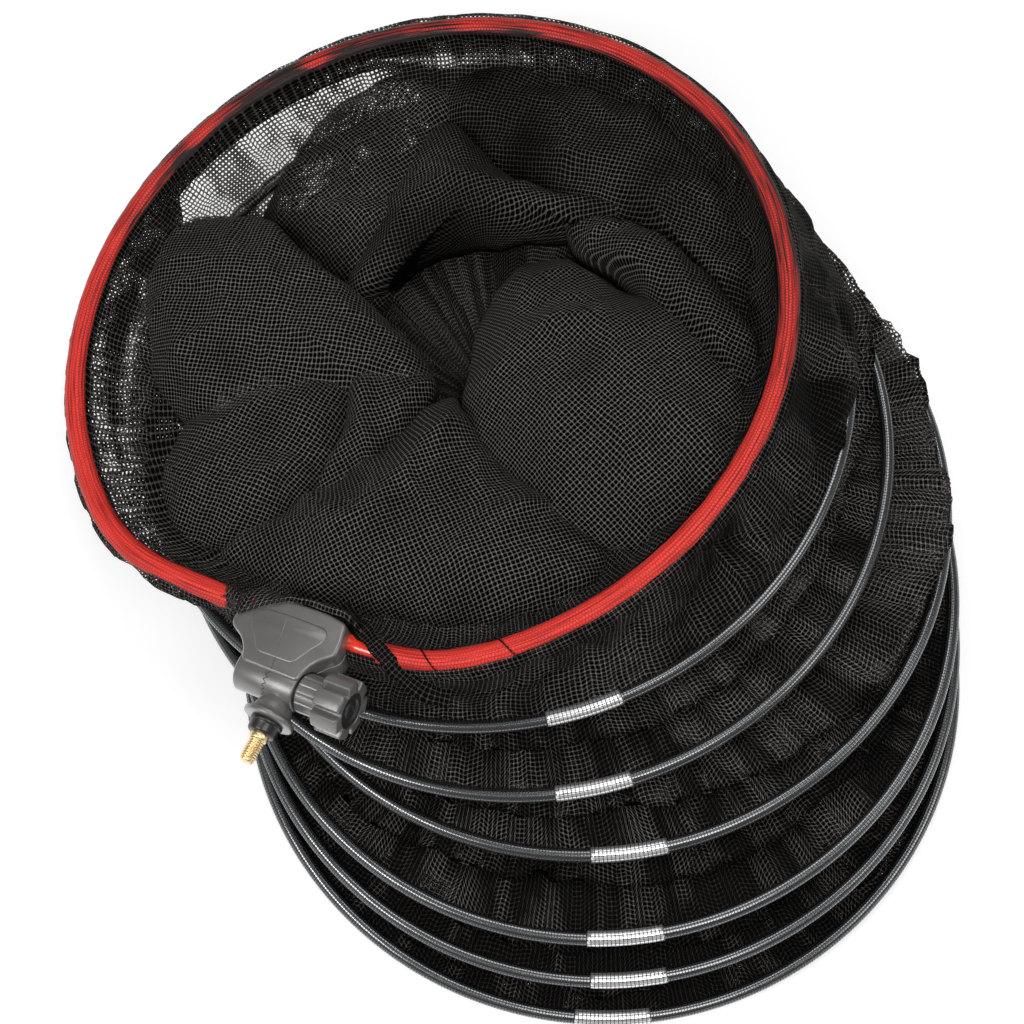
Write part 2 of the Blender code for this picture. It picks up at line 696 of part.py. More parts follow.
def outward_matrix():
    """Turns a shape made along +X so that it points out of the block along -Y."""
    return Matrix.Translation((NECK_X, 0, 0)) @ Matrix.Rotation(math.radians(-90), 4, "Z")


def make_stud_block():
    """The turning toothed half with its neck and mounting flange."""
    face = SEAM_X + TOOTH_GAP
    half = toothed_half("stud_block", face, BARREL_LENGTH / 2, BUSH_RADIUS + RUN_GAP)
    back = FLANGE_FRONT - FLANGE_THICKNESS
    root_radius = NECK_X - SEAM_X - TOOTH_DEPTH / 2 - 2 * TOOTH_GAP
    waist = (BARREL_RADIUS + back) / 2
    root = NECK_ROOT_DEPTH + BUSH_RADIUS
    neck = turned("neck", [(root, 0.0), (root, root_radius), (BARREL_RADIUS + RUN_GAP, root_radius),
                           (waist, NECK_WAIST_RADIUS), (back, (NECK_WAIST_RADIUS + FLANGE_RADIUS) / 2),
                           (back, FLANGE_RADIUS - EDGE), (back + EDGE, FLANGE_RADIUS),
                           (FLANGE_FRONT - EDGE, FLANGE_RADIUS), (FLANGE_FRONT, FLANGE_RADIUS - EDGE),
                           (FLANGE_FRONT, 0.0)], None, BLOCK)
    neck.data.transform(outward_matrix())
    combine(half, neck, "UNION")
    start = SEAM_X - TOOTH_DEPTH
    recess_end = SEAM_X + TOOTH_DEPTH / 2 + TOOTH_GAP + BUSH_FLANGE + RUN_GAP
    recess = turned("bush_recess", rod(start, recess_end, BUSH_FLANGE_RADIUS + RUN_GAP), None, BLOCK)
    combine(half, recess, "DIFFERENCE")
    bore = turned("bush_bore", rod(start, BARREL_LENGTH / 2 + OVERRUN, BUSH_RADIUS + RUN_GAP), None, BLOCK)
    combine(half, bore, "DIFFERENCE")
    hole = rod(FLANGE_FRONT - STUD_ROOT_DEPTH, FLANGE_FRONT + OVERRUN, STUD_RADIUS + SOCKET_GAP)
    socket = turned("stud_socket", hole, None, BLOCK)
    socket.data.transform(outward_matrix())
    combine(half, socket, "DIFFERENCE")


def make_stud():
    """The dark boss and the brass stud that screws into a bank stick or arm."""
    start = FLANGE_FRONT + SEAT_GAP
    end = start + BOSS_LENGTH
    bore = STUD_RADIUS + SOCKET_GAP
    boss = turned("stud_boss", [(start, bore), (start, BOSS_RADIUS), (end - EDGE, BOSS_RADIUS),
                                (end, BOSS_RADIUS - EDGE), (end, bore)], BOSS_PLASTIC, BLOCK)
    boss.data.transform(outward_matrix())
    root = FLANGE_FRONT - STUD_ROOT_DEPTH + SEAT_GAP
    collar = end + SEAT_GAP
    shoulder = collar + STUD_COLLAR_LENGTH
    shank = STUD_RADIUS - STUD_SHANK_INSET
    tip = collar + STUD_LENGTH
    profile = [(root, 0.0), (root, STUD_RADIUS), (collar, STUD_RADIUS), (collar, STUD_COLLAR_RADIUS),
               (shoulder, STUD_COLLAR_RADIUS), (shoulder, shank), (tip - STUD_CHAMFER, shank),
               (tip, STUD_RADIUS - STUD_CHAMFER), (tip, 0.0)]
    stud = turned("threaded_stud", profile, BRASS, BLOCK, 2 * STUD_FLUTES)
    for vert in stud.data.vertices:
        reach = math.hypot(vert.co.y, vert.co.z)
        turn = math.atan2(vert.co.z, vert.co.y)
        if reach > STUD_COLLAR_RADIUS - STUD_FLUTE_DEPTH / 4:
            flute = round(turn / math.tau * 2 * STUD_FLUTES) % 2
            share = 1 - flute * STUD_FLUTE_DEPTH / STUD_COLLAR_RADIUS
            vert.co.y *= share
            vert.co.z *= share
    stud.data.transform(outward_matrix())


def lobe_outline():
    """Broad flat-topped lobes with round-bottomed grooves between them."""
    valley = KNOB_RADIUS - KNOB_GROOVE_DEPTH
    pitch = math.tau / KNOB_LOBES
    points = []
    for lobe in range(KNOB_LOBES):
        for turn_share, rise_share in KNOB_LOBE_SHAPE:
            radius = valley + KNOB_GROOVE_DEPTH * rise_share
            angle = (lobe + turn_share) * pitch
            points.append((radius * math.cos(angle), radius * math.sin(angle)))
    return points


def rib_outline():
    """The collar's outline, with fine ribs."""
    pitch = math.tau / COLLAR_RIBS
    points = []
    for rib in range(COLLAR_RIBS):
        for turn_share, depth in COLLAR_RIB_SHAPE:
            radius = COLLAR_RADIUS - COLLAR_RIB_DEPTH * depth
            angle = (rib + turn_share) * pitch
            points.append((radius * math.cos(angle), radius * math.sin(angle)))
    return points


def make_knob():
    """The lobed hand knob, its brass insert and its end cap."""
    start = BARREL_LENGTH / 2 + 2 * RUN_GAP + WASHER_THICKNESS
    lobes = start + COLLAR_LENGTH
    end = lobes + KNOB_LENGTH
    knob = prism("knob", lobe_outline(), lobes, end, GREY_PLASTIC, BLOCK)
    edge = knob.modifiers.new("edges", "BEVEL")
    edge.width = EDGE
    edge.segments = 1
    edge.limit_method = "ANGLE"
    edge.angle_limit = math.radians(80)
    collar = prism("collar", rib_outline(), start, lobes + OVERRUN, None, BLOCK)
    combine(knob, collar, "UNION")
    bore = turned("insert_bore", rod(start - OVERRUN, end + OVERRUN, INSERT_RADIUS + RUN_GAP), None, BLOCK)
    combine(knob, bore, "DIFFERENCE")
    floor = end - CAP_POCKET_DEPTH
    pocket = turned("cap_pocket", rod(floor, end + OVERRUN, CAP_POCKET_RADIUS + RUN_GAP), None, BLOCK)
    combine(knob, pocket, "DIFFERENCE")
    thread = BOLT_RADIUS + RUN_GAP
    turned("knob_insert", [(start, thread), (start, INSERT_RADIUS), (floor, INSERT_RADIUS), (floor, thread)],
           BRASS, BLOCK)
    cap = floor + SEAT_GAP
    face = cap + KNOB_CAP_HEIGHT
    dish = face - KNOB_CAP_DISH
    turned("knob_cap", [(cap, 0.0), (cap, CAP_POCKET_RADIUS), (face, CAP_POCKET_RADIUS),
                        (face, KNOB_CAP_DISH_RADIUS), (dish, KNOB_CAP_DISH_RADIUS - KNOB_CAP_DISH),
                        (dish, 0.0)], BOSS_PLASTIC, BLOCK)


for number in range(1, 7):
    make_hoop(number)
for number in range(2, 7):
    make_panel(number)
make_base()
make_mouth_net()
make_ring()
make_hem()
make_ring_block()
make_pivot()
make_stud_block()
make_stud()
make_knob()
bpy.context.view_layer.update()
print("triangles", sum(len(face.vertices) - 2 for item in PARTS.objects if item.type == "MESH"
                       for face in item.data.polygons), "before modifiers")
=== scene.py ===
# %% [markdown]
# # A keep net, drawn down on the ground
# A keep net is a long tube of fine knotless mesh. Hoops hold it open, a stout
# ring stiffens its mouth, and an angle block on that ring carries the brass
# stud that screws into a bank stick. Here the net is let down, so the hoops
# lie in a leaning stack and the top of the net gathers in soft lobes.
#
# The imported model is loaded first. It fixes every size and every moving body,
# and each piece made below takes its place from it.

# %% Load the fixed frame
import math

import bmesh
import bpy
from mathutils import Matrix, Vector, noise
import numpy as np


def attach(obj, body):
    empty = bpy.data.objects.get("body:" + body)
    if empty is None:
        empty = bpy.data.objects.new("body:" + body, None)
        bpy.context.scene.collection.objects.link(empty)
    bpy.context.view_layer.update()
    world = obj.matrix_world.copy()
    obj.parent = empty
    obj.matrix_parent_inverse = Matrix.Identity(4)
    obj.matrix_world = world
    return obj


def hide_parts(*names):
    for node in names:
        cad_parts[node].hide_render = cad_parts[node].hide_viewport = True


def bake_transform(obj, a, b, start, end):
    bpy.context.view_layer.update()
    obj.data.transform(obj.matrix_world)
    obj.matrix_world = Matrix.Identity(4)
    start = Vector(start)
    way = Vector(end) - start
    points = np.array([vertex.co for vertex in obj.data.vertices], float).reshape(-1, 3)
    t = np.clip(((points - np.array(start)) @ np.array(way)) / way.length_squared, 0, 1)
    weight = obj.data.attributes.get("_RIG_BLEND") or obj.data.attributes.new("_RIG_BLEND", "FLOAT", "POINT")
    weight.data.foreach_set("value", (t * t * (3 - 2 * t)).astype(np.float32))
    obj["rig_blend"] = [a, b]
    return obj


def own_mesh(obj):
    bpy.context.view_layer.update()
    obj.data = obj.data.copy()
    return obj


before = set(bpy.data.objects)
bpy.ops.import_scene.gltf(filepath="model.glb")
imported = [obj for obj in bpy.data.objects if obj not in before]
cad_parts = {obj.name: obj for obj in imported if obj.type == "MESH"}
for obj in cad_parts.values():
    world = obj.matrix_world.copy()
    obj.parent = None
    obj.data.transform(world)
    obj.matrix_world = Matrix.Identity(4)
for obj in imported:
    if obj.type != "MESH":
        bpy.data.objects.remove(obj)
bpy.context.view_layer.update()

# %% [markdown]
# ## The camera
# The photograph looks down at about 70 degrees through a long lens, so near
# and far hoops are almost the same size. The camera is set before anything is
# made, because every comparison with the photograph needs the same view.

# %% Place the camera
LENS_MM = 120.06
SENSOR_MM = 36
VIEW_TILT = math.radians(20)
CAMERA_PLACE = (-0.0556, -0.6230, 2.0034)
lens_data = bpy.data.cameras.new("camera")
lens_data.lens = LENS_MM
lens_data.sensor_width = SENSOR_MM
lens_data.clip_end = 20
camera = bpy.data.objects.new("camera", lens_data)
camera.location = CAMERA_PLACE
camera.rotation_euler = (VIEW_TILT, 0, 0)
bpy.context.scene.collection.objects.link(camera)
bpy.context.scene.camera = camera
print("camera tilted", round(math.degrees(VIEW_TILT)), "degrees, lens", LENS_MM, "mm")

# %% [markdown]
# ## The measures of the stack
# Six hoops of one size lie on each other. Each higher one leans a little more
# to the back left and tilts a little more. The mouth ring sits on top. The
# same few values place them here as in the solid model.

# %% Frames of the hoops and of the ring
HOOP_RADIUS = 0.214
RING_RADIUS = 0.2185
RING_TUBE = 0.006
RING_FLAT = 0.197
# How sharply the round ring passes into its flat stretch: higher is sharper
FLAT_CORNER = 30
LOWEST_HOOP = 6
HOOP_FOOT = 0.0057
# Each hoop lies a step higher than the one below, and is tilted more towards one heading
HOOP_STEP = 0.018
HOOP_TILT = math.radians(2.1)
STACK_HEADING = math.radians(-31.3)
RING_RISE = 0.0382
RING_TILT = math.radians(15.4)
RING_HEADING = math.radians(-29.3)
# The block's middle lies outside the ring's flat stretch, and a little along it
BLOCK_HEADING = math.radians(-116.4)
BLOCK_OUT = 0.0355
BLOCK_SLIP = 0.0223
# Where the middle of each hoop, and of the ring, lies from the lowest hoop's, in hoop radii
HOOP_LEAN = {6: (0.0, 0.0), 5: (-0.009, 0.082), 4: (-0.019, 0.175), 3: (-0.042, 0.381),
             2: (-0.206, 0.519), 1: (-0.313, 0.682)}
RING_LEAN = (-0.5, 0.794)


def tilted_frame(centre, tilt, heading):
    """A frame at a centre, tipped down towards a heading."""
    axis = (-math.sin(heading), math.cos(heading), 0.0)
    return Matrix.Translation(centre) @ Matrix.Rotation(-tilt, 4, axis)


def hoop_frame(number):
    """Where a hoop lies in the stack."""
    rank = LOWEST_HOOP - number
    x, y = HOOP_LEAN[number]
    centre = (x * HOOP_RADIUS, y * HOOP_RADIUS, HOOP_FOOT + HOOP_STEP * rank)
    return tilted_frame(centre, HOOP_TILT * rank, STACK_HEADING)


HOOPS = {number: hoop_frame(number) for number in range(1, LOWEST_HOOP + 1)}
RING_X, RING_Y = (lean * HOOP_RADIUS for lean in RING_LEAN)
RING = tilted_frame((RING_X, RING_Y, HOOPS[1].translation.z + RING_RISE), RING_TILT, RING_HEADING)


def facing(tilted):
    """The direction that a tilted frame faces."""
    return tilted.to_3x3() @ Vector((0, 0, 1))


UP = facing(RING)
LEVEL = Vector((math.cos(BLOCK_HEADING), math.sin(BLOCK_HEADING), 0.0))
OUTWARD = (LEVEL - LEVEL.dot(UP) * UP).normalized()
ALONG = UP.cross(OUTWARD)
BLOCK = (Matrix.Translation(RING.translation + (RING_FLAT + BLOCK_OUT) * OUTWARD + BLOCK_SLIP * ALONG)
         @ Matrix((ALONG, -OUTWARD, UP)).transposed().to_4x4())
print("block stands at", [round(v, 4) for v in BLOCK.translation])


# %% Helper: places on the hoops and on the ring
def on_hoop(number, heading, inset=0.0, rise=0.0):
    """Point on a hoop's circle, or inside it, at a heading in radians."""
    reach = HOOP_RADIUS - inset
    return HOOPS[number] @ Vector((reach * math.cos(heading), reach * math.sin(heading), rise))


def on_ring(angle, stretch=0.0, rise=0.0):
    """Point on the mouth ring at an angle from the block, which flattens it there."""
    radius = RING_RADIUS
    chord = math.cos(angle)
    if chord > 0.0:
        radius = (RING_RADIUS ** -FLAT_CORNER + (RING_FLAT / chord) ** -FLAT_CORNER) ** (-1 / FLAT_CORNER)
    flat = chord * OUTWARD + math.sin(angle) * ALONG
    return RING.translation + (radius + stretch) * flat + rise * UP


def soft(seed, heading, scale):
    """Slow unevenness round a hoop, between -1 and 1."""
    return noise.noise(Vector((math.cos(heading) * scale, math.sin(heading) * scale, seed)))


def swell(heading, middle, width):
    """1 at a heading in degrees, and 0 well away from it."""
    away = math.remainder(heading - math.radians(middle), math.tau) / math.radians(width)
    return math.exp(-away * away)


print("opposite the block the ring is", round(on_ring(math.pi).z * 1000), "mm above the ground")

# %% [markdown]
# ## Sheets from rows of points
# Nearly all of this object is cloth or tube, and both are the same thing to
# a modeller: a line of edges that is extruded from row to row. Starting from
# one circle and extruding its edges keeps every face a clean quad. While the
# rows are drawn, each corner also gets its place on the flat cloth, in metres,
# as a UV map. The mesh pattern then follows the folds as a real net does.

# %% Helper: an empty sheet, and lengths along its cloth
def new_sheet():
    """A bmesh that keeps each corner's place, how bunched it is, and its spot on the flat cloth."""
    bm = bmesh.new()
    bm.verts.layers.int.new("place")
    bm.verts.layers.int.new("level")
    bm.verts.layers.float.new("gather")
    bm.loops.layers.uv.new("cloth")
    return bm


def run_lengths(rows):
    """For each row, how far each column's point is along the cloth."""
    runs = [[0.0] * len(rows[0])]
    for above, row in zip(rows, rows[1:]):
        runs.append([run + (b - a).length for run, a, b in zip(runs[-1], above, row)])
    return runs


def wrapped(rows, around):
    """Places on the flat cloth for a closed sheet: around it, and down its length."""
    runs = run_lengths(rows)
    count = len(rows[0])
    return lambda level, column: (around * column / count, runs[level][column % count])


def laid(rows, across):
    """Places on the flat cloth for a strip: along it, and one step across for each column."""
    runs = run_lengths(rows)
    return lambda level, column: (runs[level][0], across * column)


def turns(count):
    """Even angles round a full circle."""
    return [math.tau * k / count for k in range(count)]


# %% Helper: extrude rows into a sheet
def add_rows(bm, rows, cloth, closed=True, gather=None):
    """Extrude a line of edges through rows of points.

    cloth(level, column) is the place on the flat cloth, and gather(level, column) how far the
    threads are pushed together there, from 0 to 1."""
    count = len(rows[0])
    gathered = bm.verts.layers.float["gather"]
    place = bm.verts.layers.int["place"]
    level = bm.verts.layers.int["level"]
    uv = bm.loops.layers.uv["cloth"]
    ring = bmesh.ops.create_circle(bm, segments=count, radius=1.0)["verts"]
    for column, vert in enumerate(ring):
        vert[place] = column
        vert[level] = 0
        vert[gathered] = gather(0, column) if gather else 0.0
        vert.co = rows[0][column]
    edges = list({edge for vert in ring for edge in vert.link_edges})
    if not closed:
        shut = next(e for e in edges if {v[place] for v in e.verts} == {0, count - 1})
        edges.remove(shut)
        bm.edges.remove(shut)
    faces = []
    for number, row in enumerate(rows[1:], 1):
        made = bmesh.ops.extrude_edge_only(bm, edges=edges)["geom"]
        fresh = {item for item in made if isinstance(item, bmesh.types.BMVert)}
        for vert in fresh:
            vert[level] = number
            vert[gathered] = gather(number, vert[place]) if gather else 0.0
            vert.co = row[vert[place]]
        edges = [item for item in made
                 if isinstance(item, bmesh.types.BMEdge) and set(item.verts) <= fresh]
        faces += [item for item in made if isinstance(item, bmesh.types.BMFace)]
    for face in faces:
        columns = [loop.vert[place] for loop in face.loops]
        wraps = max(columns) - min(columns) > 1
        for loop, column in zip(face.loops, columns):
            loop[uv].uv = cloth(loop.vert[level], count if wraps and column == 0 else column)


def close_ends(bm, sides):
    """Fill each open end of a tube with one face."""
    bmesh.ops.holes_fill(bm, edges=[edge for edge in bm.edges if edge.is_boundary], sides=sides)


# %% Helper: tubes and soft curves
def tube_rows(path, up, radius, sides, loop=False):
    """Circles of points along a path, one for each of its places."""
    rows = []
    last = len(path) - 1
    for number, centre in enumerate(path):
        before = path[number - 1] if number else path[last - 1 if loop else 0]
        after = path[number + 1] if number < last else path[1 if loop else last]
        ahead = (after - before).normalized()
        side = ahead.cross(up).normalized()
        top = side.cross(ahead)
        rows.append([centre + radius * (math.cos(a) * side + math.sin(a) * top) for a in turns(sides)])
    return rows


def add_tube(bm, path, up, radius, sides, loop=False):
    """A tube along a path, closed at its ends or joined into a loop."""
    rows = tube_rows(path, up, radius, sides, loop)
    add_rows(bm, rows, laid(rows, math.tau * radius / sides))
    if not loop:
        close_ends(bm, sides)
    bmesh.ops.remove_doubles(bm, verts=bm.verts, dist=1e-6)


def smooth_line(points, steps, closed=False):
    """A soft curve through points, as in a bent wire."""
    count = len(points)
    spans = count if closed else count - 1
    line = []
    for span in range(spans):
        if closed:
            a, b, c, d = (points[(span + k) % count] for k in (-1, 0, 1, 2))
        else:
            a, b, c, d = (points[min(max(span + k, 0), count - 1)] for k in (-1, 0, 1, 2))
        for step in range(steps):
            t = step / steps
            line.append(0.5 * (2 * b + (c - a) * t + (2 * a - 5 * b + 4 * c - d) * t * t
                               + (3 * b - a - 3 * c + d) * t * t * t))
    if not closed:
        line.append(points[-1].copy())
    return line


# %% Helper: creases
# A crease is where a slow noise crosses zero: its sharpness, and a finer set's size and share
CREASE_SHARP = 4.5
FINER = 2.3
FINER_SHARE = 0.4


def rumpled(rows, reach, around, down, seed):
    """The same rows with sharp creases, and painted shade for the low cloth between them.

    reach(down, turn) is how far a crease lifts the cloth; around and down say how many there are."""
    count, last = len(rows[0]), len(rows) - 1
    moved, valley_shade = [], []
    for level, row in enumerate(rows):
        below, above = rows[max(level - 1, 0)], rows[min(level + 1, last)]
        fresh, row_shade = [], []
        for column, spot in enumerate(row):
            face = (row[(column + 1) % count] - row[column - 1]).cross(above[column] - below[column])
            face.normalize()
            turn = math.tau * column / count
            place = Vector((math.cos(turn) * around, math.sin(turn) * around, seed + down * level / last))
            crease = 1 - min(1.0, abs(noise.noise(place)) * CREASE_SHARP)
            crease += FINER_SHARE * (1 - min(1.0, abs(noise.noise(place * FINER)) * CREASE_SHARP))
            fresh.append(spot + reach(level / last, turn) * (crease - 0.45) * face)
            # Painted shade: high on the low cloth away from the crease lines, used later as part of the
            # gather value
            row_shade.append(max(0.0, 1 - 1.6 * crease))
        moved.append(fresh)
        valley_shade.append(row_shade)
    return moved, valley_shade


# %% Helpers: finished pieces
def piece(name, bm, finish):
    """One finished object at the origin, with its place in its mesh."""
    bmesh.ops.recalc_face_normals(bm, faces=bm.faces)
    mesh = bpy.data.meshes.new(name)
    bm.to_mesh(mesh)
    bm.free()
    mesh.materials.append(finish)
    mesh.shade_smooth()
    item = bpy.data.objects.new(name, mesh)
    bpy.context.scene.collection.objects.link(item)
    print(f"{name}: {len(mesh.polygons)} faces")
    return item


def sheet_piece(name, finish, rows, cloth, closed=True, gather=None):
    """A finished piece that is one sheet through rows of points."""
    bm = new_sheet()
    add_rows(bm, rows, cloth, closed, gather)
    return piece(name, bm, finish)


def tube_piece(name, finish, path, up, radius, sides, loop=False):
    """A finished piece that is one tube along a path."""
    bm = new_sheet()
    add_tube(bm, path, up, radius, sides, loop)
    return piece(name, bm, finish)


def stand_in(item, node, body=None):
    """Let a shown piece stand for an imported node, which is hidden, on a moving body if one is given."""
    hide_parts(node)
    if body:
        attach(item, body)


# %% [markdown]
# ## Knotless mesh
# Seen close, the net is a black cloth of small rounded holes in square rows,
# between two and three millimetres apart. The thread's own shape can't
# be modelled, since there are some hundred thousand cells, so the cloth is a
# plain sheet whose material is clear in the holes. One node group draws the
# threads. It is used for the net, for the sleeve on the ring and for the mesh
# that shows over the hoops and their bright joining sleeves.

# %% Helpers for node trees
def calc(tree, operation, *values):
    """One Math node. Plain numbers are set on its sockets, and anything else is linked."""
    node = tree.nodes.new("ShaderNodeMath")
    node.operation = operation
    for socket, value in zip(node.inputs, values):
        if isinstance(value, (int, float)):
            socket.default_value = value
        else:
            tree.links.new(value, socket)
    return node.outputs[0]


def remap(tree, value, low, high, out_low=0.0, out_high=1.0, soft=True):
    """A value carried from one range to another, and held at its ends."""
    node = tree.nodes.new("ShaderNodeMapRange")
    node.interpolation_type = "SMOOTHSTEP" if soft else "LINEAR"
    tree.links.new(value, node.inputs["Value"])
    for name, number in (("From Min", low), ("From Max", high), ("To Min", out_low), ("To Max", out_high)):
        node.inputs[name].default_value = number
    return node.outputs["Result"]


def speckle(tree, vector, scale, detail=2.0):
    """Noise between 0 and 1, in so many patches to a metre."""
    node = tree.nodes.new("ShaderNodeTexNoise")
    node.inputs["Scale"].default_value = scale
    node.inputs["Detail"].default_value = detail
    tree.links.new(vector, node.inputs["Vector"])
    return node.outputs["Fac"]


def blend_colours(tree, share, first, second):
    """From the first colour to the second as the share goes from 0 to 1."""
    node = tree.nodes.new("ShaderNodeMix")
    node.data_type = "RGBA"
    tree.links.new(share, node.inputs["Factor"])
    for socket, value in ((node.inputs["A"], first), (node.inputs["B"], second)):
        if isinstance(value, tuple):
            socket.default_value = (*value, 1.0)
        else:
            tree.links.new(value, socket)
    return node.outputs["Result"]


def open_group(name, inputs, outputs):
    """A node group with named sockets, and its two ends."""
    group = bpy.data.node_groups.new(name, "ShaderNodeTree")
    for label, kind, value in inputs:
        socket = group.interface.new_socket(label, in_out="INPUT", socket_type=kind)
        if value is not None:
            socket.default_value = value
    for label, kind in outputs:
        group.interface.new_socket(label, in_out="OUTPUT", socket_type=kind)
    return group, group.nodes.new("NodeGroupInput"), group.nodes.new("NodeGroupOutput")


# %% Node group: the threads of knotless mesh
FLOAT = "NodeSocketFloat"
threads, given, put = open_group(
    "knotless_threads",
    [("Cloth", "NodeSocketVector", None), ("Gather", FLOAT, 0.0), ("Cell", FLOAT, 0.0034),
     ("Row", FLOAT, 0.0030), ("Thread", FLOAT, 0.25), ("Waver", FLOAT, 0.25), ("Stagger", FLOAT, 0.5),
     ("Corners", FLOAT, 3.0)],
    [("Threads", FLOAT), ("Height", FLOAT)])
cloth, gathered, cell, row_height, thread, waver, stagger, corners = given.outputs[:8]


def work_out(operation, *values):
    """One Math node in the thread group."""
    return calc(threads, operation, *values)


# Cells stand in rows, and the lines between them waver a little
split = threads.nodes.new("ShaderNodeSeparateXYZ")
threads.links.new(cloth, split.inputs[0])
drift = work_out("SUBTRACT", speckle(threads, cloth, 60.0, 1.0), 0.5)
tremble = work_out("SUBTRACT", speckle(threads, cloth, 420.0, 1.0), 0.5)
sway = work_out("MULTIPLY", work_out("ADD", drift, work_out("MULTIPLY", tremble, 0.5)), waver)
across = work_out("ADD", work_out("DIVIDE", split.outputs[0], cell), sway)
down = work_out("ADD", work_out("DIVIDE", split.outputs[1], row_height), sway)
odd = work_out("FLOORED_MODULO", work_out("FLOOR", down), 2.0)
shifted = work_out("ADD", across, work_out("MULTIPLY", odd, stagger))

# A hole is what lies nearer its cell's middle than half its width, and bunched cloth has smaller holes
closing = work_out("MULTIPLY", gathered, work_out("SUBTRACT", 1.02, thread))
open_width = work_out("SUBTRACT", 1.0, work_out("ADD", thread, closing))
half_hole = work_out("MAXIMUM", work_out("MULTIPLY", open_width, 0.5), 0.01)
reach = []
crest = []
for line in (shifted, down):
    off_middle = work_out("ABSOLUTE", work_out("SUBTRACT", work_out("FRACT", line), 0.5))
    reach.append(work_out("POWER", work_out("DIVIDE", off_middle, half_hole), corners))
    crest.append(work_out("POWER", work_out("MULTIPLY", off_middle, 2.0), corners))
threads.links.new(remap(threads, work_out("ADD", *reach), 0.8, 1.2), put.inputs["Threads"])

# The thread is highest where two of them cross
hole_edge = work_out("POWER", work_out("SUBTRACT", 1.0, thread), corners)
above = work_out("SUBTRACT", work_out("ADD", *crest), hole_edge)
share = work_out("DIVIDE", above, work_out("SUBTRACT", 1.05, hole_edge))
threads.links.new(work_out("MINIMUM", work_out("MAXIMUM", share, 0.0), 1.0), put.inputs["Height"])
print("node group", threads.name, "has", len(threads.nodes), "nodes")


# %% [markdown]
# ## Finishes are built from a few helpers
# A finish in Blender is a small tree of nodes. The same branches come back in
# nearly every one: a map that says where on the piece a point is, a bump that
# tilts the light, and the shader they end in. Each branch is written once.

# %% Helpers for finishes
def cloth_map(tree):
    node = tree.nodes.new("ShaderNodeUVMap")
    node.uv_map = "cloth"
    return node.outputs["UV"]


def object_map(tree):
    return tree.nodes.new("ShaderNodeTexCoord").outputs["Object"]


def bump(tree, height, strength, distance, shader):
    node = tree.nodes.new("ShaderNodeBump")
    node.inputs["Strength"].default_value = strength
    node.inputs["Distance"].default_value = distance
    tree.links.new(height, node.inputs["Height"])
    tree.links.new(node.outputs["Normal"], shader.inputs["Normal"])


def fresh_finish(name, roughness=0.5, metallic=0.0):
    """A new material, with its node tree and its shader."""
    material = bpy.data.materials.new(name)
    material.use_nodes = True
    shader = material.node_tree.nodes["Principled BSDF"]
    shader.inputs["Roughness"].default_value = roughness
    shader.inputs["Metallic"].default_value = metallic
    return material, material.node_tree, shader


def attribute(tree, name):
    node = tree.nodes.new("ShaderNodeAttribute")
    node.attribute_name = name
    return node.outputs["Fac"]


def use_threads(tree, **values):
    """The thread group in a material, with this cloth's own cells."""
    node = tree.nodes.new("ShaderNodeGroup")
    node.node_tree = threads
    tree.links.new(cloth_map(tree), node.inputs["Cloth"])
    tree.links.new(attribute(tree, "gather"), node.inputs["Gather"])
    for label, value in values.items():
        node.inputs[label].default_value = value
    return node


# %% [markdown]
# ## The black net
# The net is a dull black thread. Its colour is painted from black at each
# thread's low places, as painted shade, to a brownish grey at its crowns, as a
# painted highlight where light falls on them. Its holes are clear, through the
# shader's alpha. Where the cloth is pushed together the same value that closes
# the holes also darkens the thread, as painted shade for the shade that its
# neighbours cast. A second, closer net with much darker colours, as painted
# shade, is made for what lies under the lobes.

# %% Finishes: black net with open holes
def net_finish(name, low, high, **values):
    """Cloth that is clear in its holes, with a painted highlight on its thread crowns, and painted shade
    where it is bunched.
    """
    material, tree, shader = fresh_finish(name, roughness=0.66)
    mesh = use_threads(tree, **values)
    twist = speckle(tree, cloth_map(tree), 700.0, 3.0)
    # Painted highlight: each thread is coloured lighter towards its crowns, and near black at its low places
    # as painted shade
    crown = calc(tree, "MULTIPLY", mesh.outputs["Height"], remap(tree, twist, 0.3, 0.7, 0.45))
    # Painted shade: bunched cloth is coloured darker, down to 0.14 of its colour
    painted_shade = remap(tree, attribute(tree, "gather"), 0.2, 1.0, 1.0, 0.14, soft=False)
    crown = calc(tree, "MULTIPLY", crown, painted_shade)
    tree.links.new(blend_colours(tree, crown, low, high), shader.inputs["Base Color"])
    tree.links.new(mesh.outputs["Threads"], shader.inputs["Alpha"])
    lift = calc(tree, "ADD", mesh.outputs["Height"], calc(tree, "MULTIPLY", twist, 0.4))
    bump(tree, lift, 0.8, 0.0005, shader)
    shader.inputs["Specular IOR Level"].default_value = 0.03
    return material


NET = net_finish("net_mesh", (0.0010, 0.0010, 0.0009), (0.196, 0.179, 0.170),
                 Cell=0.0028, Row=0.0027, Thread=0.33, Waver=0.45, Stagger=0.0, Corners=3.6)
# The under layer's net: closer cells, and colours about nine times darker as painted shade
NET_CLOSE_SHADED = net_finish("net_mesh_bunched_shaded", (0.0008, 0.0008, 0.0007), (0.022, 0.020, 0.019),
                       Cell=0.0028, Row=0.0023, Thread=0.38, Waver=0.5, Stagger=0.0, Corners=3.6)
print("net finishes:", NET.name, "and", NET_CLOSE_SHADED.name)

# %% [markdown]
# ## Hoops under their mesh
# Each hoop is a glossy black tube inside the net's own seam, so what shows is
# gloss broken by fine threads. A bright sleeve joins the hoop's two ends, and
# the same threads cross it. Both are one tube each, drawn round the hoop's
# circle, and the threads are only a pattern in their finish.

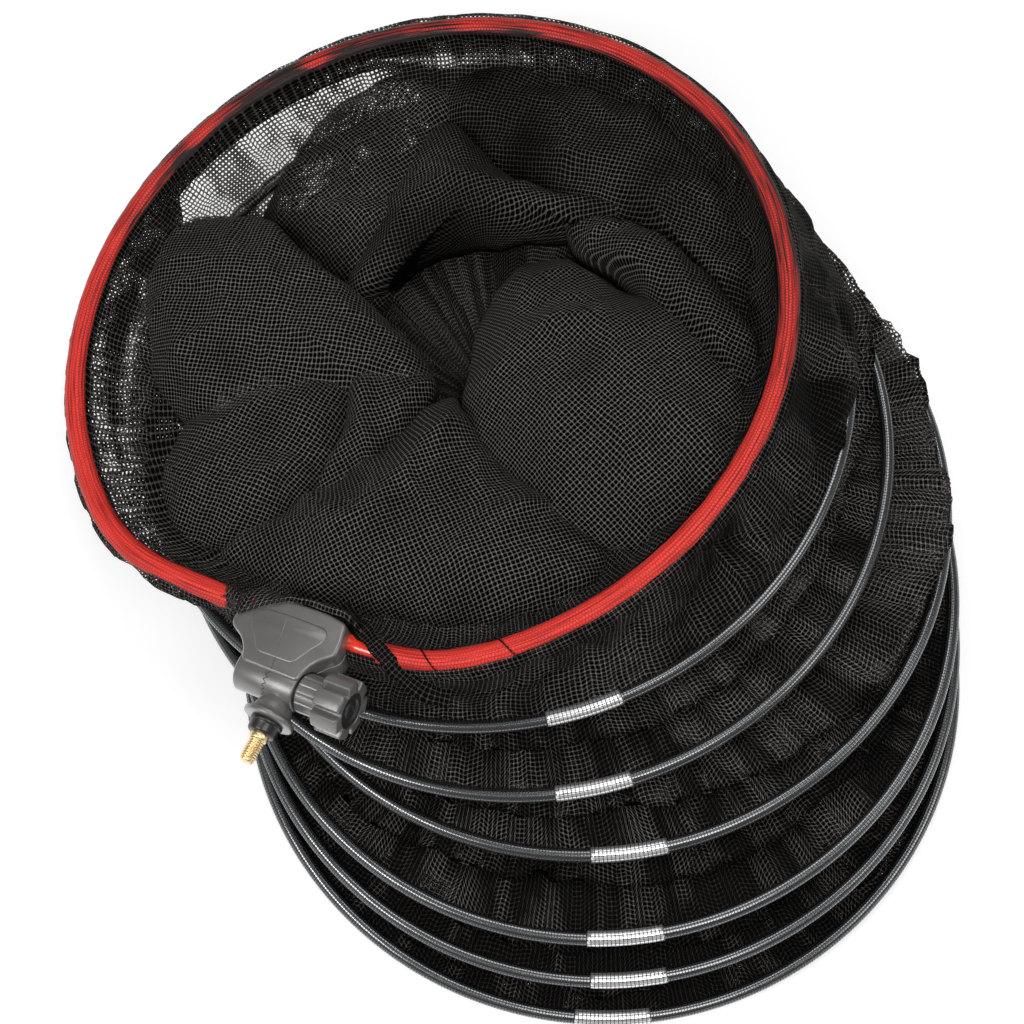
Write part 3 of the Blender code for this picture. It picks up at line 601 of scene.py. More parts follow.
# %% Finishes: black hoop and bright joining sleeve, seen through threads
def threaded_finish(name, colour, thread_colour, roughness, metallic, depth, **values):
    """A glossy tube with dull threads over it."""
    material, tree, shader = fresh_finish(name, roughness, metallic)
    mesh = use_threads(tree, **values)
    over = mesh.outputs["Threads"]
    tree.links.new(blend_colours(tree, over, colour, thread_colour), shader.inputs["Base Color"])
    tree.links.new(remap(tree, over, 0.0, 1.0, roughness, 0.6), shader.inputs["Roughness"])
    tree.links.new(remap(tree, over, 0.0, 1.0, metallic, 0.0), shader.inputs["Metallic"])
    tree.links.new(remap(tree, over, 0.0, 1.0, 1.0, 0.10), shader.inputs["Coat Weight"])
    bump(tree, mesh.outputs["Height"], depth, 0.0003, shader)
    return material


HOOP_BLACK = threaded_finish("hoop_black", (0.150, 0.156, 0.162), (0.005, 0.005, 0.005),
                             roughness=0.25, metallic=1.0, depth=0.3, Cell=0.0019, Row=0.0022,
                             Thread=0.22, Waver=0.2, Stagger=0.0, Corners=6.0)
FERRULE = threaded_finish("ferrule_bright", (0.90, 0.90, 0.91), (0.020, 0.020, 0.020),
                          roughness=0.36, metallic=0.85, depth=0.4, Cell=0.0024, Row=0.0026,
                          Thread=0.17, Waver=0.25, Stagger=0.0, Corners=8.0)
for coated in (HOOP_BLACK, FERRULE):
    gloss = coated.node_tree.nodes["Principled BSDF"]
    gloss.inputs["Specular IOR Level"].default_value = 0.7
    gloss.inputs["Coat Roughness"].default_value = 0.15
print("tube finishes:", HOOP_BLACK.name, "and", FERRULE.name)

# %% [markdown]
# ## Six hoops, each with its joining sleeve
# A hoop is bent from one length of tube, and a short wider sleeve holds its
# two ends. Both are drawn a little wider than they are, because the seam of
# the net lies round them. One loop makes all six, since only their places
# differ.

# %% Hoops and joining sleeves
HOOP_SHOWN = 0.0042
HOOP_STEPS = 240
FERRULE_SHOWN = 0.0048
FERRULE_LENGTH = 0.045
# Where on its hoop each joining sleeve sits, in degrees
FERRULE_HEADING = {1: -75, 2: -80, 3: -84, 4: -86, 5: -86, 6: -89}


def hoop_body(number):
    """The moving body that a hoop belongs to."""
    return "base" if number == LOWEST_HOOP else f"hoop_{number}"


for number in HOOPS:
    way = facing(HOOPS[number])
    path = [on_hoop(number, math.tau * k / HOOP_STEPS) for k in range(HOOP_STEPS + 1)]
    hoop = tube_piece(f"hoop_{number}_tube", HOOP_BLACK, path, way, HOOP_SHOWN, 14, loop=True)
    stand_in(hoop, f"hoop_{number}", hoop_body(number))
    middle = math.radians(FERRULE_HEADING[number])
    half = FERRULE_LENGTH / 2 / HOOP_RADIUS
    path = [on_hoop(number, middle + half * (k / 8 - 1)) for k in range(17)]
    sleeve = tube_piece(f"ferrule_{number}_sleeve", FERRULE, path, way, FERRULE_SHOWN, 18)
    stand_in(sleeve, f"ferrule_{number}", hoop_body(number))

# %% [markdown]
# ## The cloth between the hoops
# A panel of net about 30 cm long is sewn from each hoop to the next. Let down,
# it can only fold inwards, so its section is a zigzag: in, out to just short
# of the hoops, in again, and out to the lower hoop. Each panel is one sheet
# through that zigzag. It bends between its two hoops as they are pulled apart.

# %% Helper: the zigzag section of a panel
# Where slack bulges out past the hoops: how far, and at which heading and over what width in degrees
BULGE = {2: (0.014, 24, 20), 3: (0.028, -8, 48)}
# Share of the height from the lower hoop to the upper one, and how far in
ZIGZAG = ((1.0, 0.0), (0.82, 0.045), (0.72, 0.115), (0.66, 0.190), (0.60, 0.115), (0.55, 0.045),
          (0.50, 0.005), (0.40, 0.036), (0.27, 0.066), (0.16, 0.036), (0.0, 0.0))
# The place in the zigzag that comes out to just short of the hoops
OUTER_FOLD = 6


def between(number, share, inset, heading):
    """A point inside the stack, a share of the way from a hoop up to the next."""
    low = on_hoop(number, heading, inset)
    return low.lerp(on_hoop(number - 1, heading, inset), share)


def panel_section(number, heading):
    """The zigzag at one heading, uneven as slack cloth is."""
    section = []
    for index, (share, inset) in enumerate(ZIGZAG):
        free = min(share, 1 - share) > 0
        if free:
            inset += 0.010 * soft(number * 7.3 + index, heading, 3.5) + 0.004 * soft(index, heading, 14)
            reach, middle, width = BULGE.get(number, (0.004, 20, 26))
            if index == OUTER_FOLD:
                inset = max(inset, 0.0) - reach * swell(heading, middle, width)
            elif abs(index - OUTER_FOLD) == 1:
                inset -= reach * swell(heading, middle, width)
            share += 0.045 * soft(number * 3.1 + index * 1.7, heading, 9)
        section.append(between(number, share, inset, heading))
    return smooth_line(section, 3)


print("a panel's section has", len(panel_section(2, 0.0)), "places")

# %% Panels folded in between the hoops
PANEL_CUT = (1.345, 0.30)
COLUMNS = 240
CREASE_LIFT = 0.0065
# The seam that joins the cloth's sides: its heading in degrees, and how much closer its mesh is
SEAM_HEADING = 282
SEAM_BUNCH = 0.6
PANEL_BUNCH = {2: 0.08, 3: 0.22, 4: 0.50, 5: 0.62, 6: 0.62}
# A panel bends between these shares of the way from its lower hoop to its upper one
BEND_START = 0.25
BEND_END = 0.75


def folded(section, columns, creases, around, down, seed):
    """Rows of a closed sheet from its sections at even angles, and the painted shade between their creases.
    """
    return rumpled(list(zip(*[section(angle) for angle in turns(columns)])), creases, around, down, seed)


def panel_gather(level, column):
    """Bunched more in the lowest panels, and along the seam that joins the cloth's sides, with painted shade
    between the creases.
    """
    heading = math.tau * column / COLUMNS
    seam = SEAM_BUNCH if column == round(COLUMNS * SEAM_HEADING / 360) else 0.0
    slack = 0.20 * soft(number + level * 0.06, heading, 9)
    slack += 0.40 * soft(number * 1.9 + level * 0.03, heading, 3)
    thin = 0.6 * swell(heading, 6, 40) if number < 4 and 12 < level < 25 else 0.0
    # Painted shade: the low cloth between creases is darkened
    return max(0.0, seam + PANEL_BUNCH[number] + slack + 0.75 * valley_shade[level][column] - thin)


def panel_creases(down, turn):
    """None at the two hoops, where the cloth is sewn."""
    return CREASE_LIFT * math.sin(math.pi * down) ** 0.5


for number in range(2, LOWEST_HOOP + 1):
    rows, valley_shade = folded(lambda heading: panel_section(number, heading), COLUMNS,
                        panel_creases, 8, 5, number * 3.3)
    cut = wrapped(rows, PANEL_CUT[0])
    panel = sheet_piece(f"panel_{number}_cloth", NET, rows, cut, gather=panel_gather)
    stand_in(panel, f"net_panel_{number}")
    way = (facing(HOOPS[number]) + facing(HOOPS[number - 1])).normalized()
    foot = HOOPS[number].translation
    gap = (HOOPS[number - 1].translation - foot).dot(way)
    starts, ends = foot + BEND_START * gap * way, foot + BEND_END * gap * way
    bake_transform(panel, hoop_body(number), hoop_body(number - 1), starts, ends)

# %% [markdown]
# ## The closed bottom
# The tube ends in a flat disc of the same net, which lies on the ground under
# the lowest hoop. A disc made by extruding rings inwards keeps its quads, and
# its cloth is laid straight across, as it was cut.

# %% Bottom of the net
BASE_RADIUS = 0.2165
BASE_SIDES = 96
BASE_HEIGHT = 0.0008
BASE_WAVE = 0.0012
BASE_BUNCH = 0.72


def base_spot(share, angle):
    """A place on the bottom, which doesn't lie quite flat."""
    x, y = share * math.cos(angle), share * math.sin(angle)
    wave = 1 + noise.noise(Vector((9 * x, 9 * y, 4.0)))
    return Vector((BASE_RADIUS * x, BASE_RADIUS * y, BASE_HEIGHT + BASE_WAVE * wave))


rows = [[base_spot(share, angle) for angle in turns(BASE_SIDES)]
        for share in (1.0, 0.94, 0.86, 0.72, 0.55, 0.36, 0.18, 0.02)]
bm = new_sheet()
add_rows(bm, rows, lambda level, column: rows[level][column % BASE_SIDES].xy,
         gather=lambda level, column: BASE_BUNCH)
close_ends(bm, BASE_SIDES)
outer = max(bm.faces, key=lambda face: face.calc_area())
bm.faces.remove(outer)
base = piece("base_cloth", bm, NET)
stand_in(base, "net_base", "base")

# %% [markdown]
# ## The red mouth ring
# The ring is red lacquered tube, bare only beside the block. Its finish is a
# smooth coloured shader under a clear coat. Two slow noises keep it from
# looking like plastic: one clouds the red a little, and one bends the gloss.

# %% Finish: red lacquer
lacquer, tree, shader = fresh_finish("ring_lacquer", roughness=0.16)
cloudy = speckle(tree, object_map(tree), 35.0)
red = blend_colours(tree, cloudy, (0.74, 0.030, 0.012), (0.84, 0.048, 0.018))
tree.links.new(red, shader.inputs["Base Color"])
shader.inputs["Coat Weight"].default_value = 0.6
shader.inputs["Coat Roughness"].default_value = 0.06
bump(tree, speckle(tree, object_map(tree), 260.0), 0.05, 0.0004, shader)
print("finish:", lacquer.name)

# %% [markdown]
# ## The sleeve's cloth
# Everywhere but beside the block a red woven sleeve covers the tube, with the
# net's threads drawn tight over that. The red is ribbed across the tube by a
# noise that is stretched one way. The black threads are mixed in on top, and
# the value kept in each corner says how much of the red they hide there. Away
# from the top of the tube that value grows, which also paints shade on the
# sleeve's two sides.

# %% Finish: red sleeve under drawn threads
sleeve_red, tree, shader = fresh_finish("ring_sleeve", roughness=0.5)
shader.inputs["Specular IOR Level"].default_value = 0.35
drawn = use_threads(tree, Cell=0.0019, Row=0.0023, Thread=0.20, Waver=0.6, Stagger=0.5, Corners=4.0)
weave = speckle(tree, object_map(tree), 1700.0, 3.0)
streak_map = tree.nodes.new("ShaderNodeMapping")
streak_map.inputs["Scale"].default_value = (24.0, 800.0, 1.0)
tree.links.new(cloth_map(tree), streak_map.inputs["Vector"])
streak = speckle(tree, streak_map.outputs["Vector"], 1.0, 2.0)
red = blend_colours(tree, weave, (0.66, 0.020, 0.014), (0.98, 0.060, 0.040))
ribbed = blend_colours(tree, remap(tree, streak, 0.46, 0.70), red, (0.36, 0.008, 0.006))
pushed = attribute(tree, "gather")
hidden = calc(tree, "ADD", calc(tree, "MULTIPLY", pushed, 0.55), 0.40)
held = calc(tree, "MULTIPLY", drawn.outputs["Threads"], hidden)
bunched = calc(tree, "ADD", streak, calc(tree, "MULTIPLY", pushed, 0.62))
held = calc(tree, "MAXIMUM", held, remap(tree, bunched, 0.74, 0.86))
tree.links.new(blend_colours(tree, held, ribbed, (0.014, 0.004, 0.004)), shader.inputs["Base Color"])
threads_lift = calc(tree, "MULTIPLY", drawn.outputs["Height"], 0.4)
lift = calc(tree, "ADD", threads_lift, calc(tree, "MULTIPLY", streak, 0.8))
bump(tree, lift, 0.8, 0.0005, shader)
print("finish:", sleeve_red.name)

# %% [markdown]
# ## Ring tube and its sleeve
# The tube runs round from one socket of the block to the other. The sleeve
# follows the same line, which is flattened at the block, as a strip that is
# wrapped nearly all the way round the tube and meets in a seam underneath.
# Its edge is ragged where the net has been pulled back from the block.

# %% Red ring tube
RING_START = 0.12
RING_END = math.tau + 0.09
RING_STEPS = 260
path = [on_ring(RING_START + (RING_END - RING_START) * k / RING_STEPS) for k in range(RING_STEPS + 1)]
ring = tube_piece("mouth_ring_tube", lacquer, path, UP, RING_TUBE, 18)
stand_in(ring, "mouth_ring", "mouth")

# %% Woven sleeve on the ring
SLEEVE_RADIUS = 0.0071
RIGHT_WING = 0.0347
LEFT_WING = 0.0326
BARE_TUBE = 0.0165
LEFT_GAP = 0.0008
SLEEVE_START = math.atan2(BLOCK_SLIP + RIGHT_WING + BARE_TUBE, RING_FLAT)
SLEEVE_END = math.tau + math.atan2(BLOCK_SLIP - LEFT_WING - LEFT_GAP, RING_FLAT)
SLEEVE_STEPS = 300
SLEEVE_COLUMNS = 22
# The sleeve's two edges meet under the tube, and this is where the first lies, in degrees round it
SLEEVE_EDGE = -118
SLEEVE_WRAP = 356


def along_sleeve(level):
    """Angle round the ring at a row of the sleeve."""
    return SLEEVE_START + (SLEEVE_END - SLEEVE_START) * level / SLEEVE_STEPS


def round_sleeve(column):
    """Angle round the tube at a column of the sleeve, in degrees."""
    return SLEEVE_EDGE + SLEEVE_WRAP * column / SLEEVE_COLUMNS


girth = math.tau * SLEEVE_RADIUS
rows = []
for step in range(SLEEVE_STEPS + 1):
    angle = along_sleeve(step)
    row = []
    for column in range(SLEEVE_COLUMNS + 1):
        turn = math.radians(round_sleeve(column))
        spot = on_ring(angle, SLEEVE_RADIUS * math.cos(turn), SLEEVE_RADIUS * math.sin(turn))
        ruck = 0.00035 * noise.noise(spot * 70) + 0.0002 * noise.noise(spot * 240)
        row.append(spot + ruck * (spot - on_ring(angle)).normalized())
    rows.append(row)


def cover(level, column):
    """How far black mesh hides the red: along the back of the ring, and at the sleeve's sides, where the
    darkening is partly painted shade.
    """
    angle = along_sleeve(level)
    away = abs(round_sleeve(column) - 84) / 90
    back = 0.60 * swell(angle, 226, 38) * (1 + 0.9 * soft(11.0, angle, 9)) + 0.40 * swell(angle, 132, 38)
    ragged = SLEEVE_END - 0.075 + 0.03 * noise.noise(Vector((column * 0.9, 0, 0)))
    frayed = 1.4 if angle > ragged else 0.0
    # Painted shade together with mesh: the red is hidden more away from the tube's top, on both sides
    return min(1.0, max(0.0, frayed + back + (0.60 + back) * away ** 2.5))


sleeve = sheet_piece("ring_sleeve", sleeve_red, rows, laid(rows, girth / SLEEVE_COLUMNS),
                     closed=False, gather=cover)
stand_in(sleeve, "ring_hem", "mouth")

# %% [markdown]
# ## A strip of edge and two lacings
# Right of the block the edge of the net crosses over the ring as a narrow
# strip, and two lacings of thread lie beside it. The strip follows places
# read off the photograph, each given on the ring. The lacings are thin tubes
# that are bent over the ring.

# %% Strip of the net's edge over the ring
# Angle in degrees on the ring, how far out, and how high
BAND = ((10.5, -0.024, -0.012), (14.4, -0.0155, -0.004), (17.8, -0.0085, 0.0055), (20.6, -0.0010, 0.0096),
        (23.1, 0.0060, 0.0072), (25.3, 0.0110, -0.0006), (27.7, 0.0150, -0.0090), (30.8, 0.0165, -0.0145))
BAND_HALF = 0.0052
BAND_BUNCH = 0.8


def band_rows(spots, half_width):
    """A flat strip along places on the ring."""
    line = smooth_line([on_ring(math.radians(a), stretch, rise) for a, stretch, rise in spots], 7)
    rows = []
    for number, spot in enumerate(line):
        ahead = (line[min(number + 1, len(line) - 1)] - line[max(number - 1, 0)]).normalized()
        side = ahead.cross(UP)
        side = Vector((side.x, side.y, 0)).normalized() if side.length < 0.2 else side.normalized()
        wide = half_width * (1 + 0.35 * noise.noise(spot * 160))
        rows.append([spot + wide * share * side for share in (-1, -0.5, 0, 0.5, 1)])
    return rows


rows = band_rows(BAND, BAND_HALF)
band = sheet_piece("hem_band", NET, rows, laid(rows, BAND_HALF / 2), closed=False,
                   gather=lambda level, column: BAND_BUNCH)
stand_in(band, "ring_hem", "mouth")

# %% Lacings over the ring
# Each lacing starts and ends at an angle in degrees on the ring
LACINGS = ((27.2, 30.9), (39.4, 42.6))
LACE_RADIUS = 0.0005
LACE_STEPS = 14
reach = SLEEVE_RADIUS + 0.0004
bm = new_sheet()
for first, last in LACINGS:
    lace = []
    for k in range(LACE_STEPS + 1):
        turn = math.radians(165 - 190 * k / LACE_STEPS)
        angle = math.radians(first + (last - first) * k / LACE_STEPS)
        lace.append(on_ring(angle, reach * math.cos(turn), reach * math.sin(turn)))
    add_tube(bm, lace, ALONG, LACE_RADIUS, 8)
lacing = piece("hem_lacing", bm, NET_CLOSE_SHADED)
stand_in(lacing, "ring_hem", "mouth")

# %% [markdown]
# ## The skirt
# The top panel starts on the outside of the ring and hangs to the top hoop.
# Where the ring stands out past that hoop the cloth falls inwards, and at the
# back right its slack bulges out over the hoop in upright pleats. Its section
# is drawn through seven places at each angle, so that the pleats and the
# bulge can come and go along the ring.

# %% Helper: the skirt's section
def heading_from_top_hoop(spot):
    """The heading at which a point lies from the top hoop's middle."""
    flat = spot - HOOPS[1].translation
    return math.atan2(flat.y, flat.x)


def skirt_section(angle):
    """Down the outside of the ring to the top hoop, and over it where the slack bulges out."""
    hang = 0.5 + 0.5 * soft(2.0, angle, 4)
    back, side, over = swell(angle, 212, 45), swell(angle, 300, 55), swell(angle, 122, 30)
    sag, drift = swell(angle, 95, 42), angle * 13 + 2.5 * soft(4.0, angle, 5)
    pleat = sag * math.sin(drift) + 0.3 * soft(4.0, angle, 17)
    lower_pleat = sag * math.sin(drift + 1.9) + 0.3 * soft(4.6, angle, 17)
    out = 0.0080 + 0.0020 * hang + 0.0035 * back - 0.0016 * side
    first = on_ring(angle, 0.0052, 0.0042)
    second = on_ring(angle, out, -0.0010)
    third = on_ring(angle, out - 0.0004, -0.0100)
    foot = on_hoop(1, heading_from_top_hoop(third))
    heading = heading_from_top_hoop(foot)
    lap = on_hoop(1, heading, 0.0045 - 0.0105 * over, 0.0045 - 0.0020 * over)
    foot = foot.lerp(on_hoop(1, heading, -0.0052, -0.0062), over)
    out = (on_ring(angle, 0.001) - on_ring(angle)) * 1000
    inward = -0.002 - 0.008 * hang * (1 - over) + 0.006 * over
    fourth = third.lerp(lap, 0.38) + (inward + 0.0085 * pleat) * out - (0.004 + 0.004 * pleat) * UP
    fifth = third.lerp(lap, 0.72) + (0.7 * inward + 0.008 * lower_pleat) * out
    fifth += 0.05 * (lap - third).xy.length * UP
    return smooth_line([first, second, third, fourth, fifth, lap, foot], 4)


print("the skirt's section has", len(skirt_section(0.0)), "places")

# %% Skirt from the ring to the top hoop
SKIRT_STEPS = 288
SKIRT_CUT = (1.40, 0.06)
SKIRT_LIFT = 0.0045
# The cloth at the mouth bends between these shares of the way from the top hoop to the ring
MOUTH_BEND_START = 0.22
MOUTH_BEND_END = 0.70


def skirt_gather(level, column):
    """Thick at the back right where the pleats stand, with painted shade between the pleats and in the low
    cloth between the creases.
    """
    angle = math.tau * column / SKIRT_STEPS
    thick = 0.45 * swell(angle, 100, 48) + 0.12 * swell(angle, 20, 40) + 0.05
    thick += 0.22 * soft(6.0, angle, 20) - 0.1 * swell(angle, 240, 40)
    drift = angle * 13 + 2.5 * soft(4.0, angle, 5) + 1.9 * min(1.0, level / len(rows))
    # Painted shade: darker where the pleats fold in, lighter where they stand out
    thick -= 0.40 * swell(angle, 95, 42) * math.sin(drift) * min(1.0, level / 8)
    return max(0.0, thick + 0.45 * valley_shade[level][column])


def skirt_creases(down, angle):
    """None at the ring and at the hoop, where the cloth is sewn."""
    free = math.sin(math.pi * min(1.0, max(0.0, down * 1.15 - 0.1)))
    return SKIRT_LIFT * (1 - 0.7 * swell(angle, 168, 45)) * free


rows, valley_shade = folded(skirt_section, SKIRT_STEPS, skirt_creases, 8, 2.6, 21.0)
skirt = sheet_piece("mouth_skirt", NET, rows, wrapped(rows, SKIRT_CUT[0]), gather=skirt_gather)
stand_in(skirt, "net_panel_1")
blend_way = (UP + facing(HOOPS[1])).normalized()
blend_gap = (RING.translation - HOOPS[1].translation).dot(blend_way)
blend_foot = HOOPS[1].translation + MOUTH_BEND_START * blend_gap * blend_way
blend_head = HOOPS[1].translation + MOUTH_BEND_END * blend_gap * blend_way
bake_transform(skirt, "hoop_1", "mouth", blend_foot, blend_head)

# %% [markdown]
# ## The lining
# Inside the mouth the net starts on top of the sleeve, turns over the ring's
# inner side and runs down under the lobes. At the block it lies over the back
# of the shield, with an edge of its own. On the left it is drawn so tight
# that the ground shows through slits in it. It is one closed sheet like the
# skirt, and its cloth is measured unevenly round the ring, because its cells
# are stretched wide where it is tight.

# %% Helper: the lining's edge over the block
# Edge of the lining over the block: angle in degrees, and how far out from the ring's own line
BLOCK_EDGE = ((-4.4, 0.0100), (-2.7, 0.0120), (0.9, 0.0010), (4.4, -0.0060), (8.2, -0.0085), (11.7, -0.0085),
              (14.7, -0.0090), (19.0, -0.0085))


def along_edge(degrees):
    """Where the lining's edge runs at an angle beside the block."""
    before = BLOCK_EDGE[0]
    for after in BLOCK_EDGE[1:]:
        if degrees < after[0]:
            break
        before = after
    share = min(1.0, max(0.0, (degrees - before[0]) / max(after[0] - before[0], 1e-6)))
    return before[1] + share * (after[1] - before[1])


print("the lining's edge is", round(along_edge(0.0) * 1000, 1), "mm out at the middle of the flat stretch")

# %% Helper: the lining's section
LINING_RADIUS = 0.0079


def lining_section(angle):
    """From the top of the sleeve, over its inner side, and down under the lobes."""
    ruck = soft(5.0, angle, 6)
    cover = math.radians(150 + 12 * ruck - 140 * swell(angle, -5.6, 2.6))
    section = []
    for turn in (cover, (cover + math.pi) / 2, math.pi):
        section.append(on_ring(angle, LINING_RADIUS * math.cos(turn), LINING_RADIUS * math.sin(turn)))
    degrees = math.degrees(math.remainder(angle, math.tau))
    at_block = min(1.0, max(0.0, (degrees + 5.4) / 2.4), max(0.0, (18.0 - degrees) / 2.5))
    edge = along_edge(degrees)
    over_block = ((edge, 0.0158), (min(edge - 0.004, -0.0040), 0.0156),
                  (min(edge - 0.006, -0.0125), 0.0060))
    section = [spot.lerp(on_ring(angle, *above), at_block) for spot, above in zip(section, over_block)]
    away = abs(math.remainder(angle - math.radians(238), math.tau)) / math.radians(14)
    reach = 0.06 + 0.94 * min(1.0, max(0.0, away - 1.5))
    for inset, drop in ((0.014, 0.011), (0.024, 0.021), (0.038, 0.028), (0.054, 0.033)):
        inward = (inset - 0.008) * reach * (1 + 0.18 * soft(8.0 + inset * 40, angle, 5))
        lower = drop * (0.3 + 0.7 * reach) * (1 + 0.12 * soft(3.0 + inset * 90, angle, 7))
        section.append(on_ring(angle, -0.008 - inward, -lower))
    return smooth_line(section, 4)


print("the lining's section has", len(lining_section(0.0)), "places")

# %% Lining over the ring's inner side
LINING_STEPS = 420
LINING_CUT = (1.34, 0.074)
LINING_LIFT = 0.0055
# The slits: angle and half width in degrees, how far down, slope and height as shares of the way down
SLITS = ((308, 27, 0.47, 0.10, 0.085), (331, 13, 0.34, -0.12, 0.055),
         (296, 20, 0.66, 0.0, 0.05), (205, 16, 0.55, 0.1, 0.05))


def lining_creases(down, angle):
    """Few where the lining is drawn tight, on the left and at the back left."""
    tight = min(1.0, 1.2 * swell(angle, 238, 22) + 1.1 * swell(angle, 310, 30))
    return LINING_LIFT * max(0.0, down - 0.22) ** 0.5 * (1 - 0.9 * tight)


rows = folded(lining_section, LINING_STEPS, lining_creases, 14, 1.6, 33.0)[0]
runs = run_lengths(rows)
lining_levels = len(rows) - 1
lining_around = [0.0]
for angle in turns(LINING_STEPS):
    stretched = 0.62 * swell(angle, 238, 17) + 0.60 * swell(angle, 312, 26)
    lining_around.append(lining_around[-1] + LINING_CUT[0] / LINING_STEPS * (1 - min(0.7, stretched)))


def lining_gather(level, column):
    """Bunched nearly shut, but for the slits on the left that the ground shows through."""
    angle = math.tau * column / LINING_STEPS
    share = level / lining_levels
    thick = 0.78 + 0.25 * soft(9.0 + share * 2.5, angle, 12) - 0.56 * swell(angle, 20, 48)
    for middle, width, place, slope, size in SLITS:
        along = math.degrees(math.remainder(angle - math.radians(middle), math.tau)) / 30
        slit = (share - place - slope * along - 0.03 * soft(place * 31, angle, 16)) / size
        thick -= 1.25 * swell(angle, middle, width) * math.exp(-slit * slit)
    return min(1.0, max(-0.15, thick))


lining = sheet_piece("mouth_lining", NET, rows,
                     lambda level, column: (lining_around[column], runs[level][column % LINING_STEPS]),
                     gather=lining_gather)
stand_in(lining, "net_panel_1")
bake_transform(lining, "hoop_1", "mouth", blend_foot, blend_head)

# %% [markdown]
# ## Lobes of slack net
# Inside the ring the net lies in eight or nine soft lobes that lean on each
# other round a dark opening. Each lobe is a small dome with its own outline,
# drawn from the photograph in millimetres from the ring's middle. Where two
# domes meet they make the sharp valley that folded cloth makes. The cloth of
# a lobe is laid out from its crown, so its cells close up where it turns
# away, and each lobe has its own grain.

# %% Outlines and heights of the lobes
# Crown above the ring's plane, depth of the sides, grain in degrees, and outline, in millimetres
LOBES = {
    "throat": (-82, 8, 80, ((-26, 70), (8, 94), (62, 90), (64, 56), (40, 24), (14, 18), (-16, 36),
                            (-34, 54))),
    "far_right": (-2, 34, 20, ((-6, 200), (56, 204), (130, 168), (176, 114), (202, 48), (196, -6), (162, 32),
                               (116, 70), (68, 92), (26, 130))),
    "back_left": (-9, 26, 55, ((-84, 76), (-108, 98), (-88, 146), (-60, 186), (-6, 206), (20, 168), (0, 112),
                               (-26, 42), (-52, 50))),
    "back": (5, 34, 75, ((10, 164), (44, 124), (80, 100), (128, 84), (106, 70), (80, 74), (8, 72), (-30, 44),
                         (-50, 46), (-40, 96), (-18, 136))),
    "ridge": (4, 26, 110, ((84, 80), (106, 82), (138, 62), (172, 24), (194, -20), (188, -48), (154, -14),
                           (118, 32), (94, 54))),
    "right": (10, 44, 48, ((26, -12), (32, 18), (50, 50), (80, 58), (114, 34), (156, 10), (186, -34),
                           (192, -80), (172, -122), (124, -144), (78, -126), (44, -88), (22, -50))),
    "left": (7, 38, 12, ((-176, 98), (-140, 114), (-98, 102), (-72, 74), (-30, 32), (4, -14), (-14, -30),
                         (-74, -34), (-134, -38), (-168, -2), (-176, 54))),
    "low_left": (2, 32, 28, ((-144, -30), (-118, -8), (-76, -4), (-42, -14), (-38, -32), (-46, -68),
                             (-72, -98), (-108, -122), (-146, -112), (-160, -70))),
    "small": (-4, 24, 70, ((-44, -12), (-10, -6), (6, -26), (-14, -62), (-50, -92), (-70, -92), (-50, -52))),
    "low": (5, 36, -22, ((12, -30), (26, -50), (56, -90), (90, -122), (106, -150), (78, -176), (22, -184),
                         (-48, -172), (-100, -148), (-126, -120), (-78, -94), (-32, -62))),
}
# Lobes that are bunched more, and how patchy they are
LOBE_BUNCH = {"far_right": (0.62, 0.5), "back": (0.40, 0.4), "back_left": (0.52, 0.9), "ridge": (0.30, 0.3)}
print(len(LOBES), "outlines, one of them the dark throat")

# %% Helper: one lobe
LOBE_ROWS = 26
# A lobe's rows go on past its edge and turn down there. The crown is at 0, the edge at 1
TUCK = 1.12


def grain_noise(spot, scale, seed):
    """Unevenness of a lobe at a flat place, in so many waves to a metre."""
    return noise.noise(Vector((spot.x * scale, spot.y * scale, seed)))


def ring_height(x, y):
    """Height of the ring's plane beside its middle."""
    return RING.translation.z - (UP.x * x + UP.y * y) / UP.z


def add_lobe(bm, seed, crown, depth, grain, outline, thick, patchy=0.15):
    """A dome of cloth over an outline, with creases and painted shade in their valleys, laid out flat from
    its crown.
    """
    border = smooth_line([Vector((x, y)) / 1000 for x, y in outline], 10, closed=True)
    middle = sum(border, Vector((0, 0))) / len(border)
    grain = math.radians(grain)
    rows, bunched = [], []
    for number in range(LOBE_ROWS + 1):
        turn = (1 - number / LOBE_ROWS) * TUCK
        share = math.sin(min(turn, 1.0) * math.pi / 2)
        tuck = max(turn - 1.0, 0.0)
        fall = 1 - max(0.0, 1 - share ** 2.2) ** 0.6
        row, thicker = [], []
        for edge in border:
            flat = middle + share * (edge - middle)
            out = edge - middle
            heading = math.atan2(out.y, out.x)
            gather = 0.0035 * share * share * soft(seed, heading, 4)
            ruck = 0.0030 * grain_noise(flat, 26, seed) + 0.0012 * grain_noise(flat, 75, seed)
            # Painted shade: the low cloth between fold ridges is darkened through the gather value
            fold_shade = 0.0
            for fold, scale, height in ((0.0, 12, 0.0072), (4.0, 27, 0.0034)):
                slope = grain_noise(flat, scale, seed * 2.1 + fold)
                ruck += height * (0.7 - min(1.0, abs(slope) * CREASE_SHARP))
                fold_shade += 0.5 * max(0.0, abs(slope) * 3 - 0.5)
            height = ring_height(*flat) + (crown - fall * depth) / 1000 - tuck * 0.10 + gather + ruck
            row.append(Vector((RING.translation.x + flat.x, RING.translation.y + flat.y, height)))
            patch = grain_noise(flat, 20, seed * 3.7)
            thicker.append(min(1.0, max(0.0, thick + 0.35 * fold_shade + patchy * patch)))
        rows.append(row)
        bunched.append(thicker)
    runs = run_lengths(rows[::-1])[::-1]
    count = len(border)

    def cloth(level, column):
        out = border[column % count] - middle
        heading = math.atan2(out.y, out.x) + grain
        run = runs[level][column % count]
        return (run * math.cos(heading), run * math.sin(heading))

    add_rows(bm, rows, cloth, gather=lambda level, column: bunched[level][column])


# %% The heap of lobes
LOBE_SEED = 1.7
# Corners less than this apart are one corner
MERGE = 2e-5


